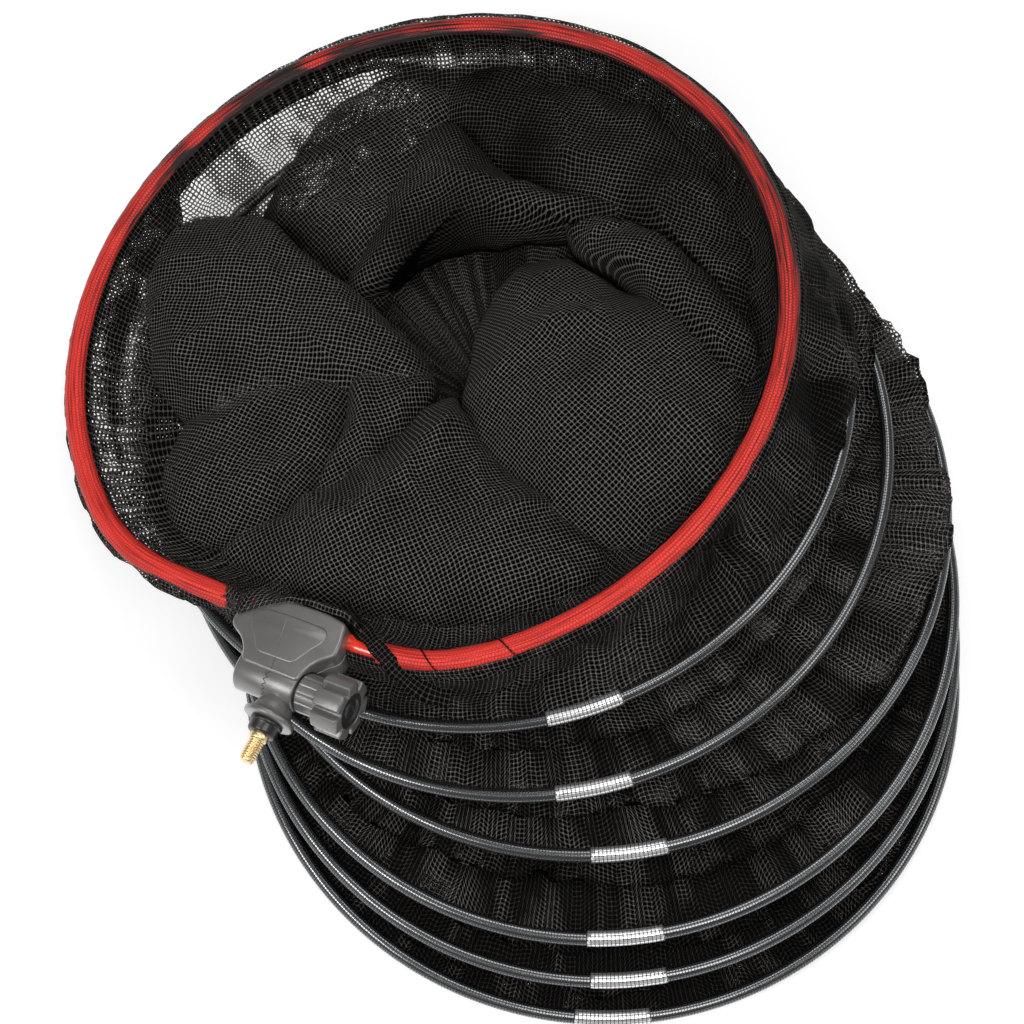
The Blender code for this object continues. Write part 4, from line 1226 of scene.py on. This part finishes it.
def make_heap(name, finish, left_out, drop, turn, bunch):
    """All lobes but one, which ride on the top hoop."""
    bm = new_sheet()
    for seed, (lobe, (crown, depth, grain, outline)) in enumerate(LOBES.items()):
        if lobe != left_out:
            add_lobe(bm, seed * LOBE_SEED, crown - drop, depth, grain + turn, outline, *bunch(lobe))
    bmesh.ops.remove_doubles(bm, verts=bm.verts, dist=MERGE)
    print(name, "has", round(sum(face.calc_area() for face in bm.faces), 3), "square metres of cloth")
    heap = piece(name, bm, finish)
    stand_in(heap, "net_panel_1", "hoop_1")
    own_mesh(heap)


make_heap("mouth_lobes", NET, "throat", 0, 0, lambda lobe: LOBE_BUNCH.get(lobe, (0.10,)))

# %% [markdown]
# ## The layer under the lobes
# The heap is double cloth, so no ground may show through its holes. The same
# outlines are used again for a second, closer layer a few millimetres down, in
# the net with darker painted shade, with its grain turned, so the two layers'
# cells never line up. The throat is in this layer only, bunched fully so that
# its painted shade is the darkest of all. The lobe at the back left is left
# out, because there the net lies single and the ground shows through it.

# %% Second layer and the throat
UNDER_LAYER = 4
UNDER_TURN = 35
# Painted shade: the under layer is bunched to 0.75 and the throat fully, which darkens them
make_heap("mouth_lobes_under", NET_CLOSE_SHADED, "back_left", UNDER_LAYER, UNDER_TURN,
          lambda lobe: (1.0 if lobe == "throat" else 0.75,))

# %% [markdown]
# ## The angle block
# A moulded block of dark grey glass-filled nylon clamps the two ends of the
# ring. Its barrel is split across by a ring of teeth. The half with the stud
# can be set at any tooth, and the hand knob closes the teeth. All its parts
# are drawn in the block's own directions: along the barrel, towards the
# ring's middle, and up.
#
# The nylon comes first. It isn't one flat grey: a slow noise clouds its tone,
# and a very fine one gives the moulded grain in roughness and in relief. The
# stud's boss is the same plastic moulded smooth and black.

# %% Finishes: moulded nylon and smooth black plastic
def moulded(name, low, high, roughness, grain):
    """Plastic with clouded tone and moulded grain."""
    material, tree, shader = fresh_finish(name, roughness)
    tone = speckle(tree, object_map(tree), 140.0, 3.0)
    tree.links.new(blend_colours(tree, tone, low, high), shader.inputs["Base Color"])
    fine = speckle(tree, object_map(tree), 2600.0, 3.0)
    dullness = remap(tree, fine, 0.3, 0.7, roughness - 0.06, roughness + 0.08)
    tree.links.new(dullness, shader.inputs["Roughness"])
    bump(tree, fine, grain, 0.0002, shader)
    return material


NYLON = moulded("block_nylon", (0.082, 0.078, 0.076), (0.124, 0.117, 0.113), 0.33, 0.6)
for label, value in (("Specular IOR Level", 1.0), ("Coat Weight", 1.0), ("Coat Roughness", 0.30)):
    NYLON.node_tree.nodes["Principled BSDF"].inputs[label].default_value = value
SMOOTH_BLACK = moulded("boss_black", (0.014, 0.014, 0.015), (0.020, 0.020, 0.022), 0.30, 0.12)
print("plastic finishes:", NYLON.name, "and", SMOOTH_BLACK.name)

# %% [markdown]
# ## Brass and steel
# Turned metal is told by its colour and by fine unevenness in its gloss. One
# noise gives both, so a patch that is a little lighter is also a little
# rougher, as handled metal is. Three colours make the brass stud, the plated
# bolt and screws, and the washer behind the knob, which is coloured near black
# as painted shade for the gap there.

# %% Finishes: brass, steel with painted gap shade, and plated steel
def metal(name, low, high, roughness, along):
    """Metal with one fine noise in its colour, gloss and relief."""
    material, tree, shader = fresh_finish(name, roughness, metallic=1.0)
    tone = speckle(tree, object_map(tree), 900.0, 4.0)
    tree.links.new(blend_colours(tree, tone, low, high), shader.inputs["Base Color"])
    dullness = remap(tree, tone, 0.25, 0.75, roughness - 0.07, roughness + 0.1)
    tree.links.new(dullness, shader.inputs["Roughness"])
    bump(tree, tone, along, 0.0001, shader)
    return material


BRASS = metal("stud_brass", (0.84, 0.63, 0.32), (0.92, 0.73, 0.42), 0.36, 0.03)
# Painted shade: the washer behind the knob is coloured near black so the gap there reads dark
STEEL_GAP_SHADE = metal("steel_gap_shade", (0.020, 0.020, 0.021), (0.036, 0.036, 0.037), 0.45, 0.1)
STEEL = metal("plated_steel", (0.52, 0.52, 0.51), (0.66, 0.66, 0.65), 0.30, 0.3)
print("metal finishes:", BRASS.name, STEEL_GAP_SHADE.name, "and", STEEL.name)

# %% [markdown]
# ## Turned shapes
# Barrel, neck, boss, stud and knob all come from a lathe or from a round
# mould. Each is a profile of places and radii that is swept round an axis,
# like a shape spun on a potter's wheel. Corners of the profile are cut by a
# small bevel first, since no moulded or turned edge is perfectly sharp and
# the bevel is what catches the light.

# %% Helpers: turned shapes in the block's directions
# Radius and half length of the barrel, and where the toothed faces meet along it
BARREL = 0.0125
HALF_BARREL = 0.020
SEAM = 0.001
TOOTH_DEPTH = 0.0022
NECK_AT = 0.0098
TEETH = 24
OUT_FROM_BARREL = Matrix.Translation((NECK_AT, 0, 0)) @ Matrix.Rotation(math.radians(-90), 4, "Z")


def turned_rows(profile, steps):
    """Circles round the x axis from (place, radius) pairs."""
    return [[Vector((x, max(radius, 1e-5) * math.cos(a), max(radius, 1e-5) * math.sin(a)))
             for a in turns(steps)] for x, radius in profile]


def softened(profile, width=0.0004):
    """The same profile with each corner cut by a small bevel."""
    points = [Vector(p) for p in profile]
    out = [profile[0]]
    for before, corner, after in zip(points, points[1:], points[2:]):
        for other in (before, after):
            reach = min(width, (other - corner).length * 0.4)
            out.append(tuple(corner + (other - corner).normalized() * reach))
    return out + [profile[-1]]


def block_piece(name, bm, finish, node, body, sharp=32):
    """A finished piece, moved from the block's own directions to its place on the ring."""
    bmesh.ops.remove_doubles(bm, verts=bm.verts, dist=MERGE)
    bmesh.ops.transform(bm, matrix=BLOCK, verts=bm.verts)
    item = piece(name, bm, finish)
    item.data.set_sharp_from_angle(angle=math.radians(sharp))
    stand_in(item, node, body)


def add_turned(bm, profile, steps=72, place=None):
    """A round shape from its profile, with bevelled corners."""
    rows = turned_rows(softened(profile), steps)
    if place:
        rows = [[place @ spot for spot in row] for row in rows]
    add_rows(bm, rows, wrapped(rows, 0.05))


print("turned shapes have", TEETH, "teeth and a barrel of", BARREL * 2000, "mm")

# %% [markdown]
# ## The shield
# The shield is one moulding: a rounded plate with a swept outline, hollowed
# for the barrel, with a raised panel on its face. The outline is drawn as
# corners in millimetres that are rounded off, and the plate is that outline
# stacked in levels, with a soft upper edge and the fine parting line that its
# mould leaves half way up. The barrel's room is cut out with a boolean,
# because a round hollow along the block can't be stacked from such levels.

# %% Helpers: rounded outlines in levels, and a cut
def carve(item, tool):
    """Cut one piece by another, and keep only the result."""
    cut = item.modifiers.new("cut", "BOOLEAN")
    cut.operation = "DIFFERENCE"
    cut.solver = "EXACT"
    cut.object = tool
    bpy.context.view_layer.update()
    made = bpy.data.meshes.new_from_object(item.evaluated_get(bpy.context.evaluated_depsgraph_get()))
    item.modifiers.clear()
    old = item.data
    item.data = made
    bpy.data.meshes.remove(old)
    bpy.data.objects.remove(tool)


def rounded_outline(corners, steps, cut):
    """A closed outline in metres with its corners rounded off."""
    points = [Vector(c) / 1000 for c in corners]
    line = []
    for index, corner in enumerate(points):
        before, after = points[index - 1], points[(index + 1) % len(points)]
        start = corner.lerp(before, min(0.5, cut / (before - corner).length))
        end = corner.lerp(after, min(0.5, cut / (after - corner).length))
        for k in range(steps):
            t = k / (steps - 1)
            line.append(start.lerp(corner, t).lerp(corner.lerp(end, t), t))
    return line


def offset_outline(line, inset):
    """The outline moved inwards along its own normals."""
    moved = []
    for index, spot in enumerate(line):
        ahead = (line[(index + 1) % len(line)] - line[index - 1]).normalized()
        moved.append(spot + inset * Vector((-ahead.y, ahead.x)))
    return moved


def add_plate(bm, line, levels):
    """A closed plate from an outline at (inset, height) levels."""
    rows = [[Vector((*spot, height)) for spot in offset_outline(line, inset)] for inset, height in levels]
    add_rows(bm, rows, wrapped(rows, 0.2))
    close_ends(bm, len(line))


# %% Shield, hollowed for the barrel
SHIELD = [(-17.6, 0.2), (20.4, 0.2), (21.6, 7.6), (24.4, 13.4), (28.8, 18.2), (33.9, 21.8), (34.2, 29.0),
          (31.0, 42.6), (18, 44.6), (-10, 44.0), (-21.6, 39.6), (-31.0, 33.6), (-35.2, 26.0),
          (-34.4, 18.6), (-25.0, 13.8), (-19.6, 7.2)]
SHIELD_FOOT = -0.010
SHIELD_FACE = 0.014
EDGE_ROUND = 0.0020
PARTING = 0.0003
ROOM_RADIUS = BARREL + 0.0003
ROOM_START = SEAM - TOOTH_DEPTH
ROOM_END = 0.05
levels = [(0.0016, SHIELD_FOOT), (0.0004, SHIELD_FOOT + 0.0005), (0.0, SHIELD_FOOT + 0.0016)]
levels += [(0.0, 0.0015), (PARTING, 0.0017), (PARTING, 0.0022), (0.0, 0.0024)]
levels += [(0.0, SHIELD_FACE - EDGE_ROUND)]
for turn in (0.4, 0.8, 1.2, math.pi / 2):
    levels.append((EDGE_ROUND * (1 - math.cos(turn)), SHIELD_FACE - EDGE_ROUND * (1 - math.sin(turn))))
bm = new_sheet()
add_plate(bm, rounded_outline(SHIELD, 6, 0.0035), levels)
shield = piece("block_shield", bm, NYLON)
bm = new_sheet()
add_turned(bm, [(ROOM_START, 0), (ROOM_START, ROOM_RADIUS), (ROOM_END, ROOM_RADIUS), (ROOM_END, 0)])
carve(shield, piece("barrel_room", bm, NYLON))
shield.data.transform(BLOCK)
shield.data.set_sharp_from_angle(angle=math.radians(35))
stand_in(shield, "ring_block", "mouth")

# %% [markdown]
# ## The raised panel
# The shield's face carries a plain raised panel with a fine parting line down
# its middle. It is the same kind of stacked outline, only a few tenths of a
# millimetre high, and the line is a very thin tube laid on it.

# %% Raised panel on the shield
PANEL = [(-10.8, 8.2), (12.6, 8.9), (16.4, 15.0), (19.9, 21.6), (23.6, 26.6), (24.2, 31.8), (20.6, 35.2),
         (-2.7, 35.0), (-18.6, 33.9), (-24.4, 28.0), (-22.6, 22.2), (-15.6, 14.6)]
PANEL_FACE = SHIELD_FACE + 0.0008
# The line down the panel, in millimetres
FLASH = ((-4.1, 34.2), (-0.9, 19.2), (1.0, 12.0), (1.9, 6.0), (2.4, 1.4))
FLASH_RADIUS = 0.00022
bm = new_sheet()
add_plate(bm, rounded_outline(PANEL, 6, 0.003),
          [(-0.0004, SHIELD_FACE - 0.0006), (-0.0002, SHIELD_FACE + 0.0001), (0.0003, SHIELD_FACE + 0.0006),
           (0.0010, PANEL_FACE)])
flash = [Vector((x / 1000, y / 1000, PANEL_FACE)) for x, y in FLASH]
add_tube(bm, smooth_line(flash, 6), Vector((0, 0, 1)), FLASH_RADIUS, 6)
block_piece("block_panel", bm, NYLON, "ring_block", "mouth", sharp=60)

# %% [markdown]
# ## The toothed halves of the barrel
# Twenty-four teeth stand out from the end of each half like the teeth of a
# crown wheel, and each tooth is deeper at its outside. So the last rows of
# the turned barrel are zigzag circles instead of plain ones. Both halves use
# the same rows with a hair's breadth between them, and mesh as real ones do.

# %% Fixed half of the barrel
TOOTH_STEPS = 8
BARREL_STEPS = TEETH * TOOTH_STEPS
TOOTH_INSIDE = 0.007
TOOTH_BEVEL = 0.0003
BORE = 0.0052


def tooth_row(x, radius):
    """A zigzag circle on the toothed face."""
    row = []
    for k, turn in enumerate(turns(BARREL_STEPS)):
        wave = abs((k / TOOTH_STEPS % 1.0) - 0.5) * 4 - 1
        row.append(Vector((x + wave * TOOTH_DEPTH / 2 * radius / BARREL, radius * math.cos(turn),
                           radius * math.sin(turn))))
    return row


rows = turned_rows(softened([(-HALF_BARREL + 0.0006, BORE), (-HALF_BARREL, 0.0056), (-HALF_BARREL, 0.0112),
                             (-HALF_BARREL + 0.0013, BARREL), (SEAM - 0.0030, BARREL)]), BARREL_STEPS)
rows += [tooth_row(SEAM - 0.0001, BARREL), tooth_row(SEAM, BARREL - TOOTH_BEVEL),
         tooth_row(SEAM, TOOTH_INSIDE)]
bm = new_sheet()
add_rows(bm, rows, wrapped(rows, 0.08))
block_piece("barrel_fixed_half", bm, NYLON, "ring_block", "mouth")

# %% [markdown]
# ## The turning half
# The other half carries a short neck that widens to a flange for the stud.
# The neck is turned too, but round its own axis, which leaves the barrel
# sideways. So the same helper draws it, and one matrix turns it out from the
# barrel. The neck starts outside the spring and the bush in the barrel.

# %% Turning half with its neck and flange
TEETH_APART = 0.0004
rows = [tooth_row(SEAM + TEETH_APART, TOOTH_INSIDE), tooth_row(SEAM + TEETH_APART, BARREL - TOOTH_BEVEL),
        tooth_row(SEAM + 0.0005, BARREL)]
rows += turned_rows(softened([(SEAM + 0.0034, BARREL), (HALF_BARREL - 0.0007, BARREL), (HALF_BARREL, 0.0118),
                              (HALF_BARREL, BORE)]), BARREL_STEPS)
bm = new_sheet()
add_rows(bm, rows, wrapped(rows, 0.08))
add_turned(bm, [(0.0070, 0.0), (0.0070, 0.0078), (0.0102, 0.0079), (0.0116, 0.0090), (0.0138, 0.0106),
                (0.0172, 0.0115), (0.0196, 0.0124), (0.0204, 0.0148), (0.0212, 0.0155), (0.0232, 0.0155),
                (0.0240, 0.0147), (0.0240, 0.0)], 96, OUT_FROM_BARREL)
block_piece("barrel_turning_half", bm, NYLON, "stud_block", "stud_block")

# %% [markdown]
# ## The dark boss
# A smooth black ring is pressed on the flange and backs the stud. It is one
# turned profile, a little waisted, so that it catches a line of light.

# %% Boss behind the stud
bm = new_sheet()
add_turned(bm, [(0.0240, 0.0), (0.0243, 0.0100), (0.0262, 0.0100), (0.0268, 0.0091), (0.0316, 0.0086),
                (0.0326, 0.0076), (0.0326, 0.0)], 72, OUT_FROM_BARREL)
block_piece("stud_boss_ring", bm, SMOOTH_BLACK, "stud_boss", "stud_block")

# %% [markdown]
# ## The brass stud
# The stud is three eighths of an inch thick, and is drawn with sixteen turns
# to the inch. A thread is a single profile that climbs as it goes round, so
# it is drawn as one strip: each row holds one pitch of the thread, and the
# next row is a little farther round and a little farther along.

# %% Brass stud with a real thread
THREAD_PITCH = 0.0254 / 16
THREAD_STEPS = 60
STUD_RADIUS = 0.00476
STUD_TIP = 0.0504
THREAD_START = 0.0361
SHOULDER_END = THREAD_START + 0.0002
TIP_CUT = 0.0012
TIP_START = STUD_TIP - TIP_CUT
# The strip stops this many steps early, because each row reaches one pitch farther along
RUN_OUT = 58
# One pitch of the thread: place along the pitch, and depth below the crest
THREAD_FORM = ((0.0, 0.0), (0.10, 0.0), (0.24, 0.00018), (0.42, 0.00052), (0.50, 0.00060), (0.58, 0.00060),
               (0.66, 0.00052), (0.84, 0.00018), (1.0, 0.0))
bm = new_sheet()
add_turned(bm, [(0.0300, 0.0), (0.0300, 0.0056), (0.0356, 0.0056), (SHOULDER_END, 0.0049),
                (SHOULDER_END, 0.0)], 72, OUT_FROM_BARREL)
rows = []
for step in range(int((STUD_TIP - THREAD_START) / THREAD_PITCH * THREAD_STEPS) - RUN_OUT):
    turn = math.tau * step / THREAD_STEPS
    row = []
    for place, depth in THREAD_FORM:
        x = THREAD_START + THREAD_PITCH * (step / THREAD_STEPS + place)
        radius = min(STUD_RADIUS - depth, STUD_RADIUS - 0.001 + max(0.0, TIP_START - x))
        row.append(OUT_FROM_BARREL @ Vector((x, radius * math.cos(turn), radius * math.sin(turn))))
    rows.append(row)
add_rows(bm, rows, lambda level, column: (0.0005 * level, 0.0002 * column), closed=False)
add_turned(bm, [(TIP_START - 0.0022, 0.0), (TIP_START - 0.0020, STUD_RADIUS - 0.0010),
                (TIP_START, STUD_RADIUS - 0.0007), (STUD_TIP, STUD_RADIUS - 0.0014), (STUD_TIP, 0.0)],
           72, OUT_FROM_BARREL)
block_piece("stud_thread", bm, BRASS, "threaded_stud", "stud_block", sharp=50)

# %% [markdown]
# ## The hand knob
# The knob is moulded in the same grey nylon, with seven broad lobes for the
# fingers and a slim collar with fourteen fine grooves next to the barrel. One
# outline round the axis, smoothed through a few places for each lobe, is
# repeated from end to end of the knob. Only its rims are drawn in, which
# gives them their soft round edge.

# %% Hand knob: lobes and grooved collar
KNOB_START = 0.0214
LOBES_START = KNOB_START + 0.0142
KNOB_END = LOBES_START + 0.0178
KNOB_RADIUS = 0.0175
GROOVE = 0.0048
KNOB_LOBES = 7
COLLAR_RADIUS = 0.0120
COLLAR_STEPS = 168
COLLAR_GROOVE = 0.0006
GROOVE_EVERY = 12
# Round one lobe: place as a share of its width, and how far up from the groove
LOBE_SHAPE = ((-0.31, 0.976), (-0.16, 0.995), (0.0, 1.0), (0.16, 0.995), (0.31, 0.976), (0.37, 0.49),
              (0.43, 0.1), (0.5, 0.0), (0.57, 0.1), (0.63, 0.49))
outline = []
for lobe in range(KNOB_LOBES):
    for turn, rise in LOBE_SHAPE:
        radius = KNOB_RADIUS - GROOVE * (1 - rise)
        angle = (lobe + turn) * math.tau / KNOB_LOBES
        outline.append(Vector((radius * math.cos(angle), radius * math.sin(angle))))
outline = smooth_line(outline, 3, closed=True)
# The rounded rim at each end: how far from the end, and how far in
RIM = [(0.0, 0.0016), (0.0002, 0.0008), (0.0007, 0.0002), (0.0016, 0.0)]
rows = [[Vector((LOBES_START, 0.62 * p.x, 0.62 * p.y)) for p in outline]]
for sign, at in ((1, LOBES_START), (-1, KNOB_END)):
    for run, inset in RIM[::sign]:
        rows.append([Vector((at + sign * run, p.x * (1 - inset / p.length), p.y * (1 - inset / p.length)))
                     for p in outline])
for x, radius in ((KNOB_END, 0.0110), (KNOB_END - 0.0004, 0.0109), (KNOB_END - 0.0012, 0.0109)):
    rows.append([Vector((x, radius * p.normalized().x, radius * p.normalized().y)) for p in outline])
bm = new_sheet()
add_rows(bm, rows, wrapped(rows, 0.11))
collar = []
for x, radius, grooved in ((KNOB_START, 0.0100, 0), (KNOB_START, 0.0113, 0),
                           (KNOB_START + 0.0008, COLLAR_RADIUS, 0), (KNOB_START + 0.0020, COLLAR_RADIUS, 1),
                           (LOBES_START + 0.001, COLLAR_RADIUS, 1)):
    row = []
    for k, turn in enumerate(turns(COLLAR_STEPS)):
        groove = max(0.0, 1 - abs((k % GROOVE_EVERY) - GROOVE_EVERY / 2) / 1.5)
        depth = radius - COLLAR_GROOVE * grooved * groove
        row.append(Vector((x, depth * math.cos(turn), depth * math.sin(turn))))
    collar.append(row)
add_rows(bm, collar, wrapped(collar, 0.075))
block_piece("hand_knob", bm, NYLON, "knob", "knob")

# %% [markdown]
# ## The knob's end
# A black disc with a raised middle closes the knob's end and hides the
# threaded insert. It sits a little inside the rim, so the rim shades it.

# %% End cap of the knob
CAP_FACE = KNOB_END - 0.0007
bm = new_sheet()
add_turned(bm, [(CAP_FACE - 0.0015, 0.0107), (CAP_FACE, 0.0107), (CAP_FACE, 0.0078),
                (CAP_FACE - 0.0009, 0.0070), (CAP_FACE - 0.0009, 0.0048), (CAP_FACE - 0.0003, 0.0044),
                (CAP_FACE - 0.0003, 0.0)])
block_piece("knob_end_cap", bm, SMOOTH_BLACK, "knob_cap", "knob")

# %% [markdown]
# ## Small hardware
# Bolt, bush, spring, washer, screws, insert and the barrel's cap are small
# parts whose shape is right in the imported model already. They keep it, and
# only their finish is changed here.

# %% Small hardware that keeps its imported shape
for node, look in (("grub_screw_left", STEEL), ("grub_screw_right", STEEL), ("pivot_bolt", STEEL),
                   ("release_spring", STEEL), ("thrust_washer", STEEL_GAP_SHADE), ("pivot_bush", BRASS),
                   ("knob_insert", BRASS), ("barrel_cap", NYLON)):
    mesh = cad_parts[node].data
    mesh.materials.clear()
    mesh.materials.append(look)
print("small hardware finished")

# %% [markdown]
# ## Light and ground
# The photograph is cut out on white and lit from above the camera, which puts
# a pale line along each hoop. Four soft lamps do that: a wide one behind the
# net, a strong one from the left that catches the block, a weak one from the
# right, and one in front above the camera. A pale sky fills the shadows. The
# ground shows white to the camera, to glossy things and through clear holes,
# but adds no more light than that.

# %% Ground, sky and lamps
GROUND_HEIGHT = -0.0006
GROUND_GLOW = 0.55
SKY_STRENGTH = 0.16
LAMPS_AIM = Vector((0, 0.1, 0.1))
ground_finish, tree, shader = fresh_finish("ground_white", roughness=0.9)
shader.inputs["Base Color"].default_value = (0.6, 0.6, 0.6, 1.0)
shader.inputs["Specular IOR Level"].default_value = 0.0
path_node = tree.nodes.new("ShaderNodeLightPath")
seen = calc(tree, "MAXIMUM", path_node.outputs["Is Glossy Ray"], path_node.outputs["Is Transmission Ray"])
seen = calc(tree, "MAXIMUM", path_node.outputs["Is Camera Ray"], seen)
glow = tree.nodes.new("ShaderNodeEmission")
tree.links.new(calc(tree, "MULTIPLY", seen, GROUND_GLOW), glow.inputs["Strength"])
both = tree.nodes.new("ShaderNodeAddShader")
tree.links.new(shader.outputs[0], both.inputs[0])
tree.links.new(glow.outputs[0], both.inputs[1])
tree.links.new(both.outputs[0], tree.nodes["Material Output"].inputs["Surface"])
bm = bmesh.new()
bmesh.ops.create_grid(bm, x_segments=2, y_segments=2, size=6.0)
bmesh.ops.translate(bm, verts=bm.verts, vec=(0, 0, GROUND_HEIGHT))
ground = piece("ground", bm, ground_finish)

world = bpy.data.worlds.new("sky")
world.use_nodes = True
bpy.context.scene.world = world
world.node_tree.nodes["Background"].inputs["Color"].default_value = (1.0, 1.0, 1.0, 1.0)
world.node_tree.nodes["Background"].inputs["Strength"].default_value = SKY_STRENGTH
for name, place, size, power in (("lamp_back", (0.05, 0.95, 2.1), 1.3, 16),
                                 ("lamp_left", (-1.55, -0.75, 1.6), 0.9, 25),
                                 ("lamp_right", (1.25, -0.35, 1.15), 0.8, 6.5),
                                 ("lamp_front", (0.2, -0.95, 2.3), 1.0, 18)):
    lamp = bpy.data.lights.new(name, "AREA")
    lamp.size = size
    lamp.energy = power
    item = bpy.data.objects.new(name, lamp)
    item.location = place
    item.rotation_euler = (LAMPS_AIM - Vector(place)).to_track_quat("-Z", "Y").to_euler()
    bpy.context.scene.collection.objects.link(item)
bpy.context.scene.view_settings.view_transform = "Standard"
